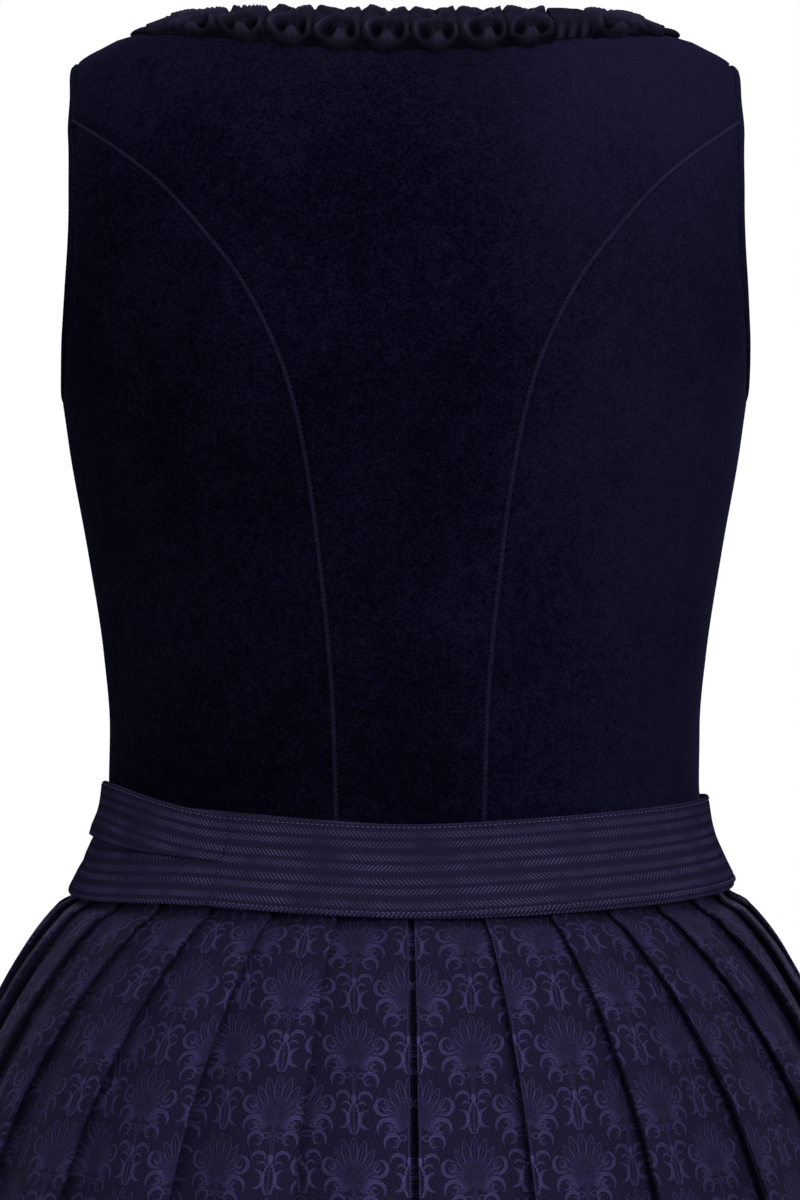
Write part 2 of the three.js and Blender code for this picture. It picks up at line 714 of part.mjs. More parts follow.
// The left tie is tucked into the band's end and fans out as it goes forward.
const fan = { top: 8, bottom: 5, over: 38 };
function fanned(angle) {
  return THREE.MathUtils.smoothstep(angle, band.joinAngle, band.joinAngle + fan.over);
}
function narrowed(angle) {
  return 1 - THREE.MathUtils.smoothstep(angle, side - 8, side + 18);
}
const tieTop = (angle) => band.top + hung(angle) + fan.top * fanned(angle) * narrowed(angle);
const tieBottom = (angle) => band.bottom + hungBelow(angle) - fan.bottom * fanned(angle) * narrowed(angle);
// The tuck is a shallow valley that runs down the middle of the tie towards the join.
function tieSurface(angle, height) {
  const middle = THREE.MathUtils.lerp(-382.5, -378, fanned(angle));
  const away = (height - middle) / 5;
  const inward = -0.5 * Math.exp(-away * away) * (1 - fanned(angle) * 0.4);
  return onSection(bandAt(height), angle, height, -inward);
}
add(
  "apron_tie_left",
  waistStrip(
    tieSurface,
    band.joinAngle + joinGap,
    band.knotAngle - joinGap,
    tieTop,
    tieBottom,
    cloth.band,
    24,
    5,
  ),
  stripe,
);

// The other tie lies under the band, a little askew, so that its edges show above and below it.
const underSurface = moved(bandSurface, -cloth.band - seamGap - 0.45);
const askew = (angle) => underTieTilt * Math.sin(angle * degree) * Math.cos(angle * degree * 0.5);
const underEnd = 103;
add(
  "apron_tie_under",
  waistStrip(
    underSurface,
    -underEnd,
    underEnd,
    (angle) => band.top + hung(angle) + askew(angle),
    (angle) => band.bottom + hungBelow(angle) + askew(angle),
    cloth.underTie,
    32,
    3,
  ),
  stripe,
);

// ---------------------------------------------------------------- bow

const bowSizes = { loopLength: 92, loopWidth: 44, throat: 20, tailLength: 330, tailWidth: 44 };
const bow = new THREE.Group();
const knotSeat = bandSurface(band.knotAngle, (band.top + band.bottom) / 2);
const knotUp = bandSurface(band.knotAngle, band.top).sub(bandSurface(band.knotAngle, band.bottom)).normalize();
const knotOut = moved(bandSurface, 1)(band.knotAngle, knotSeat.z).sub(knotSeat).cross(knotUp);
const knotAlong = knotOut.clone().normalize();
knotOut.crossVectors(knotUp, knotAlong);
bow.position.copy(knotSeat);
bow.quaternion.setFromRotationMatrix(new THREE.Matrix4().makeBasis(knotAlong, knotOut, knotUp));
dirndl.add(bow);

// The knot is a soft lump: rings of points round its own upright axis.
const knotRings = [
  { up: 25, halfWidth: 9, depth: 4 },
  { up: 21, halfWidth: 14, depth: 8 },
  { up: 8, halfWidth: 15.5, depth: 11 },
  { up: -8, halfWidth: 15, depth: 11 },
  { up: -21, halfWidth: 14.5, depth: 8.5 },
  { up: -25, halfWidth: 10, depth: 4.5 },
];
const knotStand = 3.5; // the knot's flat back stands clear of the curved band
function knotShape() {
  const around = 14;
  const loop = (row, share) =>
    Array.from({ length: around + 1 }, (_, j) => {
      const turn = (j / around) * Math.PI;
      const bulge = row.depth * Math.sin(turn) ** 0.7 * share;
      return new THREE.Vector3(-row.halfWidth * Math.cos(turn), knotStand + bulge, row.up);
    });
  return wall(
    knotRings.map((row) => loop(row, 1)),
    knotRings.map((row) => loop(row, 0).map((point) => point.setY(knotStand - 1.2))),
  );
}
add("bow_knot", knotShape(), stripe, bow);

// A loop of the bow: the tie goes out along the band, turns and comes back over itself.
const loopPath = [
  { along: 15.9, out: 5.6, width: 0, droop: 0 },
  { along: 24.6, out: 5.2, width: 0.4, droop: 1 },
  { along: 38.3, out: 8.5, width: 0.9, droop: 4 },
  { along: 54.4, out: 16, width: 1, droop: 9 },
  { along: 64.9, out: 25, width: 1, droop: 13 },
  { along: 67.4, out: 32, width: 1, droop: 14 },
  { along: 63.1, out: 36.5, width: 1, droop: 13 },
  { along: 51.9, out: 35, width: 1, droop: 9 },
  { along: 37, out: 27.5, width: 0.9, droop: 4 },
  { along: 25.3, out: 17.5, width: 0.4, droop: 1 },
  { along: 15.9, out: 10.2, width: 0, droop: 0 },
];
function loopShape(sign) {
  const lines = 4;
  const centre = loopPath.map((row) => new THREE.Vector2(row.along, row.out));
  const face = (distance) =>
    Array.from({ length: lines + 1 }, (_, i) => {
      const column = loopPath.map((row, j) => {
        const before = centre[Math.max(0, j - 1)];
        const after = centre[Math.min(centre.length - 1, j + 1)];
        const way = after.clone().sub(before).normalize();
        const width = THREE.MathUtils.lerp(bowSizes.throat, bowSizes.loopWidth, row.width);
        return new THREE.Vector3(
          sign * (row.along + way.y * distance),
          row.out - way.x * distance,
          (0.5 - i / lines) * width - row.droop,
        );
      });
      return sign > 0 ? column : column.reverse();
    });
  return wall(face(-cloth.band / 2), face(cloth.band / 2));
}
add("bow_loop_front", loopShape(1), stripe, bow);
add("bow_loop_side", loopShape(-1), stripe, bow);

// The tails hang from under the knot down the apron. lean is the drift along the cloth at the end.
const tails = [
  { name: "bow_tail_front", start: 4, lean: 26, length: bowSizes.tailLength, stand: 3.9 },
  { name: "bow_tail_side", start: -9, lean: -44, length: bowSizes.tailLength - 26, stand: 1.6 },
];
const tailLevels = [0, 0.015, 0.06, 0.105, 0.16, 0.26, 0.37, 0.65, 1];
function tailShape(tail) {
  const columns = 4;
  const first = band.bottom - 2.2;
  const grid = (distance) =>
    tailLevels.map((down) =>
      Array.from({ length: columns + 1 }, (_, j) => {
        const across = j / columns - 0.5;
        const slant = down === 1 ? 12 * (0.5 - across) : 0;
        const height = first - tail.length * down + slant;
        const width = THREE.MathUtils.lerp(bowSizes.throat, bowSizes.tailWidth, Math.min(1, down * 3.2));
        const section = skirtAt(height);
        const row = apronAt(height);
        const radius = Math.hypot(
          section.halfWidth * Math.sin(band.knotAngle * degree),
          section.front * Math.cos(band.knotAngle * degree),
        );
        const along = tail.start + tail.lean * down + across * width;
        const ripple = 1.1 * Math.cos(across * 2 * Math.PI) * Math.min(1, down * 2);
        const lift = row.clear + cloth.apron + row.gather + row.fold + tail.stand + ripple + distance;
        const spot = onSkirt(section, band.knotAngle + along / radius / degree, lift);
        return new THREE.Vector3(spot.x, spot.y, height);
      }),
    );
  return wall(grid(cloth.band), grid(0));
}
for (const tail of tails) add(tail.name, tailShape(tail), stripe);

export default dirndl;
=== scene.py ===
import math

import bmesh
import bpy
import numpy as np
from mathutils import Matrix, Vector


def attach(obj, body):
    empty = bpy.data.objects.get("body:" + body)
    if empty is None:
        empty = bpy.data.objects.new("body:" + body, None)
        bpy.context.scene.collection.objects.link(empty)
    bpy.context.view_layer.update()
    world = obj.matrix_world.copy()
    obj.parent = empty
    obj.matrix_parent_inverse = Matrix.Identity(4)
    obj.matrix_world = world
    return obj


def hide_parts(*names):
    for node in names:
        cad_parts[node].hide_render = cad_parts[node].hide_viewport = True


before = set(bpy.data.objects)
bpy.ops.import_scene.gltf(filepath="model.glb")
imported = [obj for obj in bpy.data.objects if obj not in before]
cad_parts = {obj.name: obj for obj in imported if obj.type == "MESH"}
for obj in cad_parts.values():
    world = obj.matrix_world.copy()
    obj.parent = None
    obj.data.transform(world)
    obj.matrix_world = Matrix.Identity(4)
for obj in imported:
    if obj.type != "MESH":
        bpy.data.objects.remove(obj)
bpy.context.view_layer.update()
scene = bpy.context.scene
print("frame loaded:", len(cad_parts), "nodes")

mm = 0.001
deg = math.pi / 180
gap = 0.3  # a seam between two solids, mm

# tables shared with the solids: height, half width, depth behind, depth before, roundness

bodiceTable = [
    (0, 122, 62, 60, 2.2), (-3, 135, 64, 63, 2.2), (-6, 141, 66, 66, 2.2), (-12, 152, 70, 71, 2.2),
    (-17, 157, 74, 76, 2.2), (-30, 162.5, 82, 86, 2.2), (-50, 168.5, 90, 97, 2.22), (-78, 170.5, 97, 108, 2.25),
    (-110, 169.5, 103, 118, 2.25), (-140, 166.5, 106, 126, 2.25), (-170, 161.3, 107, 131, 2.22),
    (-200, 157, 106.5, 134, 2.2), (-244, 149.2, 104, 130, 2.15), (-292, 142, 101, 113, 2.08),
    (-327, 139.2, 99, 101, 2.03), (-352, 139.4, 98.6, 98.6, 2), (-376, 141, 100, 99.5, 2),
]
bandTable = [
    (-350, 142.7, 101.6, 101.6, 2), (-361.5, 144, 103.1, 103.1, 2), (-375, 146.5, 106, 105.8, 2),
    (-387, 151.3, 110.8, 110.2, 2), (-399, 157.3, 116.2, 115.4, 2), (-412, 164.2, 122.6, 121.4, 2),
]
backSeamTable = [
    (-41, 158), (-58, 132.7), (-74, 113), (-95.5, 93.5), (-116.5, 77.3), (-138, 65.4), (-160, 56.4),
    (-182, 50.5), (-217, 44.4), (-250, 40.4), (-285, 36.8), (-318, 34.7), (-376, 33.2),
]
frontSeamTable = [
    (-92, 158), (-112, 137), (-140, 112), (-170, 93), (-200, 81), (-230, 74), (-260, 68), (-300, 61),
    (-340, 55), (-376, 53),
]
# height, half width, back, front, step, tuck, swell, spread
skirtTable = [
    (-376.4, 136, 95.8, 95.4, 5.8, 6, 0.2, 0), (-402.6, 147.2, 106, 105.8, 5.9, 6, 0.3, 0),
    (-405.2, 149.3, 108, 107, 5.9, 6, 0.3, 0), (-410, 157.6, 115.8, 112, 6.4, 6.2, 0.7, 0.6),
    (-446, 180.5, 142.5, 138, 7.8, 7.5, 1.8, 8), (-500, 203, 167, 160, 9, 8.5, 2.2, 14.5),
    (-600, 237, 205, 197, 12.5, 9, 2.8, 17), (-790, 300, 270, 261, 18.5, 8.4, 4.1, 16),
    (-1026, 370, 343, 335, 25, 7, 5.5, 12),
]
apronTable = [
    (-405.3, 7.7, 0.6, 0), (-411, 9, 2.6, 0.4), (-426, 10, 4, 1.5), (-460, 11, 3.6, 3),
    (-530, 13.1, 2.4, 6), (-700, 19.5, 1.5, 9.5), (-990, 29, 1, 13),
]
cup = {"angle": 143, "height": -214, "rise": 9, "halfAngle": 24, "halfHeight": 44}
neckCut = {"halfWidth": 122, "backDip": 3.5, "frontDrop": 140, "cornerAcross": 2.2, "cornerDown": 2.6}
armCut = {"top": -17, "bottom": -170, "back": 46, "front": 51, "binding": 3.4}


def readTable(rows):
    rows = np.array(rows, float)
    z, v = rows[:, 0], rows[:, 1:]
    span = (z[1:] - z[:-1])[:, None]
    rise = (v[1:] - v[:-1]) / span
    slope = np.zeros_like(v)
    slope[0], slope[-1] = rise[0], rise[-1]
    a, b = rise[:-1], rise[1:]
    slope[1:-1] = np.where(a * b > 0, 2 * a * b / np.where(a + b == 0, 1, a + b), 0)

    def at(height):
        h = np.asarray(height, float)
        i = np.clip(np.searchsorted(-z, -h, side="right") - 1, 0, len(z) - 2)
        s = (z[i + 1] - z[i])[..., None]
        t = np.clip((h - z[i])[..., None] / s, 0, 1)
        bend = slope[i] * (t - 2 * t**2 + t**3) + slope[i + 1] * (t**3 - t**2)
        found = v[i] + (v[i + 1] - v[i]) * t * t * (3 - 2 * t) + bend * s
        return [found[..., k] for k in range(found.shape[-1])]

    return at


bodiceAt = readTable(bodiceTable)
bandAt = readTable(bandTable)
skirtAt = readTable(skirtTable)
apronAt = readTable(apronTable)
backSeamAt = readTable(backSeamTable)
frontSeamAt = readTable(frontSeamTable)


# surfaces: angles in degrees from the centre back, positive to the wearer's left

def onSection(section, angle, height, extra=0.0):
    halfWidth, back, front, roundness = section
    across, along = np.sin(angle * deg), np.cos(angle * deg)
    depth = np.where(along > 0, back, front)
    radius = (np.abs(across) / halfWidth) ** roundness + (np.abs(along) / depth) ** roundness
    radius = radius ** (-1 / roundness) + extra
    height = np.broadcast_to(height, np.shape(radius))
    return np.stack([radius * across, radius * along, height], axis=-1)


def bodiceSurface(angle, height):
    angle, height = np.broadcast_arrays(np.asarray(angle, float), np.asarray(height, float))
    turn = (np.arccos(np.clip(np.cos(angle * deg), -1, 1)) / deg - cup["angle"]) / cup["halfAngle"]
    drop = (height - cup["height"]) / cup["halfHeight"]
    return onSection(bodiceAt(height), angle, height, cup["rise"] * np.exp(-turn**2 - drop**2))


def bandSurface(angle, height):
    angle, height = np.broadcast_arrays(np.asarray(angle, float), np.asarray(height, float))
    return onSection(bandAt(height), angle, height)


def unit(v):
    return v / np.maximum(np.linalg.norm(v, axis=-1, keepdims=True), 1e-9)


def facing(surface, angle, height):
    along = surface(angle + 0.1, height) - surface(angle - 0.1, height)
    up = surface(angle, height + 0.4) - surface(angle, height - 0.4)
    return unit(np.cross(up, along))


def lifted(surface, angle, height, distance):
    return surface(angle, height) + facing(surface, angle, height) * distance


def angleAcross(section, across, back=True):
    halfWidth, behind, before, roundness = section
    share = np.minimum(1, across / halfWidth) ** roundness
    deep = (behind if back else -before) * (1 - share) ** (1 / roundness)
    return np.arctan2(across, deep) / deg


def angleDeep(section, deep):
    halfWidth, back, front, roundness = section
    depth = np.where(deep > 0, back, front)
    share = np.minimum(1, np.abs(deep) / depth) ** roundness
    return np.arctan2(halfWidth * (1 - share) ** (1 / roundness), deep) / deg


def gapAngle(height):
    return gap / 2 / bodiceAt(height)[0] / deg


def armholeAngle(height, sign, grown):
    middle = (armCut["top"] + armCut["bottom"]) / 2
    half = (armCut["top"] - armCut["bottom"]) / 2 + grown
    deep = (armCut["back"] if sign > 0 else armCut["front"]) + grown
    share = np.minimum(1, np.abs(height - middle) / half)
    return angleDeep(bodiceAt(height), sign * deep * np.sqrt(1 - share**2))


def backNeckHeight(angle):
    return -neckCut["backDip"] * np.cos(angle * deg) ** 2


def frontNeckAcross(height):
    share = np.minimum(1, -height / neckCut["frontDrop"]) ** neckCut["cornerDown"]
    return neckCut["halfWidth"] * (1 - share) ** (1 / neckCut["cornerAcross"])


def ramp(x, low, high):
    return np.clip((x - low) / (high - low), 0, 1)


def smoothStep(x, low, high):
    t = ramp(x, low, high)
    return t * t * (3 - 2 * t)


def hump(x, width):
    return np.exp(-((x / width) ** 2))


def soften(u, v, seed, waves=7, low=0.4, high=1.6):
    # a smooth uneven field of about -1 to 1, the same on each run
    rng = np.random.default_rng(seed)
    total = np.zeros(np.broadcast(u, v).shape)
    for _ in range(waves):
        way, rate, start = rng.uniform(0, 2 * math.pi), rng.uniform(low, high), rng.uniform(0, 2 * math.pi)
        total = total + np.sin(rate * (u * math.cos(way) + v * math.sin(way)) + start)
    return total / math.sqrt(waves)


# mesh makers

def meshObject(name, points, faces, uvs=None, sharp=50):
    if name in bpy.data.objects:
        name += "_cloth"  # the solid it stands for has the plain name
    mesh = bpy.data.meshes.new(name)
    mesh.from_pydata((np.asarray(points) * mm).tolist(), [], faces)
    if uvs is not None:
        layer = mesh.uv_layers.new(name="cloth")
        corner = np.empty(len(mesh.loops), int)
        mesh.loops.foreach_get("vertex_index", corner)
        layer.data.foreach_set("uv", np.asarray(uvs, float)[corner].astype(np.float32).ravel())
    mesh.shade_smooth()
    mesh.set_sharp_from_angle(angle=sharp * deg)
    mesh.update()
    piece = bpy.data.objects.new(name, mesh)
    scene.collection.objects.link(piece)
    return piece


def gridNormals(grid):
    along = np.gradient(grid, axis=1)
    up = -np.gradient(grid, axis=0)
    return unit(np.cross(up, along))


def gridFaces(index, turned=False):
    a, b, c, d = index[:-1, :-1], index[:-1, 1:], index[1:, 1:], index[1:, :-1]
    return np.stack([a, d, c, b] if turned else [a, b, c, d], -1).reshape(-1, 4)


def rimPlaces(rows, cols):
    # row and column of each point round the rim of a grid
    loop = [(0, j) for j in range(cols)] + [(i, cols - 1) for i in range(1, rows)]
    loop += [(rows - 1, j) for j in range(cols - 2, -1, -1)] + [(i, 0) for i in range(rows - 2, 0, -1)]
    return np.array(loop).T


def rimFaces(ring, other):
    return np.stack([np.roll(ring, -1), ring, other, np.roll(other, -1)], -1)


def clothShell(name, grid, thickness, uv=None, normals=None, roll=0.3):
    # a closed wall below a grid of points: rows run down, columns to the wearer's left
    rows, cols = grid.shape[:2]
    normals = gridNormals(grid) if normals is None else normals
    inner = grid - normals * thickness
    i, j = rimPlaces(rows, cols)
    outward = unit(grid[i, j] - grid[np.clip(i, 1, rows - 2), np.clip(j, 1, cols - 2)])
    middle = (grid[i, j] + inner[i, j]) / 2 + outward * thickness * roll
    points = np.concatenate([grid.reshape(-1, 3), inner.reshape(-1, 3), middle])
    index = np.arange(rows * cols).reshape(rows, cols)
    back = index + rows * cols
    ring, ringMid = index[i, j], np.arange(len(i)) + 2 * rows * cols
    sides = [rimFaces(ring, ringMid), rimFaces(ringMid, back[i, j])]
    faces = np.concatenate([gridFaces(index), gridFaces(back, True), *sides]).tolist()
    uvs = None
    if uv is not None:
        flat = uv.reshape(-1, 2)
        uvs = np.concatenate([flat, flat, flat[ring]])
    return meshObject(name, points, faces, uvs)


def shellBetween(name, outer, inner, uv):
    # a closed wall between two grids of points
    rows, cols = outer.shape[:2]
    points = np.concatenate([outer.reshape(-1, 3), inner.reshape(-1, 3)])
    index = np.arange(rows * cols).reshape(rows, cols)
    back = index + rows * cols
    i, j = rimPlaces(rows, cols)
    faces = np.concatenate([gridFaces(index), gridFaces(back, True), rimFaces(index[i, j], back[i, j])])
    return meshObject(name, points, faces.tolist(), np.concatenate([uv.reshape(-1, 2)] * 2), sharp=70)


def clothRing(name, sections):
    # a closed ring through sections with the same number of points
    index = np.arange(sections.shape[0] * sections.shape[1]).reshape(sections.shape[:2])
    faces = gridFaces(np.pad(index, ((0, 1), (0, 1)), mode="wrap")).tolist()
    return meshObject(name, sections.reshape(-1, 3), faces)


def flatLengths(grid):
    # lengths along the rows and down the columns, for patterns that follow the cloth
    along = np.linalg.norm(np.diff(grid, axis=1), axis=-1)
    down = np.linalg.norm(np.diff(grid, axis=0), axis=-1)
    u = np.concatenate([np.zeros((grid.shape[0], 1)), np.cumsum(along, axis=1)], axis=1)
    v = np.concatenate([np.zeros((1, grid.shape[1])), np.cumsum(down, axis=0)], axis=0)
    return u, v


def cordAlong(name, path, normals, width, height, sides=8):
    # a soft ridge: an oval section carried along a path that lies on cloth
    normals = unit(normals)
    cross = unit(np.cross(normals, unit(np.gradient(path, axis=0))))
    turn = np.arange(sides) / sides * 2 * math.pi
    ring = path[:, None] + cross[:, None] * (width / 2 * np.cos(turn))[None, :, None]
    ring = ring + normals[:, None] * (height / 2 * np.sin(turn))[None, :, None]
    n = len(path)
    points = np.concatenate([ring.reshape(-1, 3), path[:1], path[-1:]])
    index = np.arange(n * sides).reshape(n, sides)
    faces = gridFaces(np.pad(index, ((0, 0), (0, 1)), mode="wrap"), True).tolist()
    for j in range(sides):
        after = (j + 1) % sides
        faces.append([n * sides, j, after])
        faces.append([n * sides + 1, (n - 1) * sides + after, (n - 1) * sides + j])
    piece = meshObject(name, points, faces)
    tidyNormals(piece)
    return piece


def tidyNormals(piece):
    bm = bmesh.new()
    bm.from_mesh(piece.data)
    bmesh.ops.recalc_face_normals(bm, faces=bm.faces)
    bm.to_mesh(piece.data)
    bm.free()


# materials

class Maths:
    # short sums that become Math nodes in one material

    def __init__(self, tree):
        self.tree = tree

    def op(self, kind, *values):
        node = self.tree.nodes.new("ShaderNodeMath")
        node.operation = kind
        for socket, value in zip(node.inputs, values):
            if isinstance(value, bpy.types.NodeSocket):
                self.tree.links.new(value, socket)
            else:
                socket.default_value = value
        return node.outputs[0]

    def add(self, a, b): return self.op("ADD", a, b)
    def sub(self, a, b): return self.op("SUBTRACT", a, b)
    def mul(self, a, b): return self.op("MULTIPLY", a, b)
    def div(self, a, b): return self.op("DIVIDE", a, b)
    def most(self, a, b): return self.op("MAXIMUM", a, b)
    def least(self, a, b): return self.op("MINIMUM", a, b)
    def size(self, a): return self.op("ABSOLUTE", a)
    def part(self, a): return self.op("FRACT", a)
    def whole(self, a): return self.op("FLOOR", a)
    def sin(self, a): return self.op("SINE", a)
    def cos(self, a): return self.op("COSINE", a)
    def angle(self, y, x): return self.op("ARCTAN2", y, x)

    def clamp(self, a): return self.op("MINIMUM", 1, self.op("MAXIMUM", 0, a))

    def length(self, x, y):
        return self.op("SQRT", self.add(self.mul(x, x), self.mul(y, y)))

    def below(self, value, limit, soft):
        # 1 where value is under limit, with a soft edge
        node = self.tree.nodes.new("ShaderNodeMapRange")
        node.interpolation_type = "SMOOTHSTEP"
        self.tree.links.new(value, node.inputs["Value"])
        for name, at in (("From Min", self.sub(limit, soft)), ("From Max", self.add(limit, soft))):
            self.tree.links.new(at, node.inputs[name])
        node.inputs["To Min"].default_value = 1
        node.inputs["To Max"].default_value = 0
        return node.outputs["Result"]

    def blend(self, a, b, share):
        return self.add(a, self.mul(self.sub(b, a), share))


def newMaterial(name, colour, roughness):
    material = bpy.data.materials.new(name)
    material.use_nodes = True
    material.diffuse_color = (*colour, 1)
    tree = material.node_tree
    shader = tree.nodes["Principled BSDF"]
    shader.inputs["Base Color"].default_value = (*colour, 1)
    shader.inputs["Roughness"].default_value = roughness
    return material, tree, shader


def setInputs(node, **values):
    for name, value in values.items():
        node.inputs[name.replace("_", " ")].default_value = value


def noise(tree, **values):
    # uneven from 0 to 1, placed by Object coordinates
    place = tree.nodes.get("Texture Coordinate") or tree.nodes.new("ShaderNodeTexCoord")
    node = tree.nodes.new("ShaderNodeTexNoise")
    setInputs(node, **values)
    tree.links.new(place.outputs["Object"], node.inputs["Vector"])
    return node.outputs["Fac"]


def mixColour(tree, share, a, b):
    node = tree.nodes.new("ShaderNodeMix")
    node.data_type = "RGBA"
    tree.links.new(share, node.inputs[0])
    node.inputs[6].default_value = (*a, 1)
    node.inputs[7].default_value = (*b, 1)
    return node.outputs[2]


def addBump(tree, shader, height, distance, strength):
    bump = tree.nodes.new("ShaderNodeBump")
    setInputs(bump, Strength=strength, Distance=distance)
    tree.links.new(height, bump.inputs["Height"])
    tree.links.new(bump.outputs["Normal"], shader.inputs["Normal"])


# the lighter velvet colour serves both brushed pile and painted light on the wearer's right side and shoulders
velvetLook = {
    "pile": (0.0003, 0.0002, 0.0009), "brushedAndLit": (0.0020, 0.0018, 0.0054), "roughness": 0.85,
    "sheen": 0.012, "sheenRoughness": 0.38, "sheenTint": (0.30, 0.34, 0.75),
    "napScale": 9, "tuftScale": 190, "pileScale": 900,
    "litRightSide": 0.50, "shoulder": 0.36, "patches": 0.26, "tufts": 0.7, "pileGrain": 1.4,
}


def makeVelvet(name, pile, brushedAndLit):
    look = velvetLook
    material, tree, shader = newMaterial(name, pile, look["roughness"])
    m = Maths(tree)
    nap = noise(tree, Scale=look["napScale"], Detail=5, Roughness=0.6)
    tufts = noise(tree, Scale=look["tuftScale"], Detail=4, Roughness=0.65)
    fine = noise(tree, Scale=look["pileScale"], Detail=2)
    # the pile is brushed lighter here and there; painted light makes the wearer's right side and the top, at
    # the shoulders, lighter too
    apart = tree.nodes.new("ShaderNodeSeparateXYZ")
    tree.links.new(tree.nodes["Texture Coordinate"].outputs["Object"], apart.inputs[0])
    # painted light: masks for the wearer's right side and the shoulders, lighter where the light falls
    litRightMask = m.below(apart.outputs["X"], -0.055, 0.075)
    shoulder = m.sub(1, m.below(apart.outputs["Z"], -0.06, 0.09))
    patches = m.sub(1, m.below(nap, 0.52, 0.16))
    grain = m.add(m.mul(m.sub(fine, 0.5), look["pileGrain"]), m.mul(m.sub(tufts, 0.5), look["tufts"]))
    share = m.add(m.mul(litRightMask, look["litRightSide"]), m.mul(shoulder, look["shoulder"]))
    share = m.most(0, m.add(share, m.add(m.mul(patches, look["patches"]), grain)))
    tree.links.new(mixColour(tree, share, pile, brushedAndLit), shader.inputs["Base Color"])
    setInputs(shader, Specular_IOR_Level=0, Sheen_Weight=look["sheen"],
              Sheen_Roughness=look["sheenRoughness"], Sheen_Tint=(*look["sheenTint"], 1))
    addBump(tree, shader, fine, 0.0005, 0.5)
    return material


def clothMap(tree, m):
    # the piece's own cloth map, in millimetres
    node = tree.nodes.new("ShaderNodeUVMap")
    node.uv_map = "cloth"
    apart = tree.nodes.new("ShaderNodeSeparateXYZ")
    tree.links.new(node.outputs[0], apart.inputs[0])
    return m.mul(apart.outputs["X"], 1000), m.mul(apart.outputs["Y"], 1000)


# painted light: the dark colour is painted shade in the mouths' hollows, the light one a painted highlight on
# their ridges
trimLook = {
    "hollow": (0.0003, 0.0003, 0.0009), "paintedRidgeLight": (0.0062, 0.0056, 0.0116), "roughness": 0.8,
    "fineScale": 1600, "wideScale": 60,
}


def makeTrimCloth():
    look = trimLook
    material, tree, shader = newMaterial("matte trim cloth", look["hollow"], look["roughness"])
    m = Maths(tree)
    fine = noise(tree, Scale=look["fineScale"], Detail=2)
    wide = noise(tree, Scale=look["wideScale"], Detail=4)
    fold, _ = clothMap(tree, m)  # how far the cloth is out of the hollows: painted highlight on the ridges, painted shade in the hollows
    # besides the painted light, the noise adds uneven tone of the cloth itself
    share = m.add(m.mul(fold, 0.8), m.add(m.mul(fine, 0.3), m.mul(wide, 0.3)))
    share = m.clamp(m.sub(share, 0.28))
    tree.links.new(mixColour(tree, share, look["hollow"], look["paintedRidgeLight"]), shader.inputs["Base Color"])
    setInputs(shader, Specular_IOR_Level=0, Sheen_Weight=0.006, Sheen_Roughness=0.5,
              Sheen_Tint=(0.5, 0.5, 0.8, 1))
    addBump(tree, shader, fine, 0.0004, 0.6)
    return material


damaskLook = {
    "ground": (0.0022, 0.0017, 0.0051), "figure": (0.0107, 0.0085, 0.0266), "groundRoughness": 0.62,
    "figureRoughness": 0.38, "satin": 0.35, "columnWidth": 24.5, "dropHeight": 54.0, "thread": 0.34,
    "relief": 0.00018, "fanAt": 4.0, "petalStep": 0.25, "budAt": -20.5,
    # centre, radius, start, part of a turn, thickness
    "curls": [
        (7.1, -3.2, 3.7, -0.7, 0.62, 0.66), (6.6, -3.9, 1.6, 1.4, 0.7, 0.36),
        (4.9, -11.6, 3.3, -0.1, 0.56, 0.62), (6.8, -20.9, 4.4, 1.6, 0.50, 0.68),
        (3.6, -14.9, 2.1, 0.2, 0.45, 0.40),
        (9.6, 2.6, 1.6, 1.0, 0.8, 0.36), (10.6, 12.6, 1.6, 2.0, 0.75, 0.34),
    ],
    # those that reach into the next column
    "wideCurls": [
        (11.0, 13.0, 4.1, -2.3, 0.62, 0.66), (9.3, 2.8, 4.4, -0.5, 0.60, 0.72),
        (13.6, -24.6, 6.4, 3.5, 0.26, 0.36),
    ],
}


def weavePattern(tree, shader, m, look, share, figure, threads):
    # the figure's colour, its shine and its raised threads
    colour = mixColour(tree, m.clamp(share), look["ground"], look["figure"])
    tree.links.new(colour, shader.inputs["Base Color"])
    rough = m.blend(look["groundRoughness"], look["figureRoughness"], figure)
    tree.links.new(rough, shader.inputs["Roughness"])
    threads = m.add(m.mul(m.sin(m.mul(threads, 2 * math.pi / look["thread"])), 0.5), 0.5)
    addBump(tree, shader, m.add(figure, m.mul(threads, 0.25)), look["relief"], 0.8)


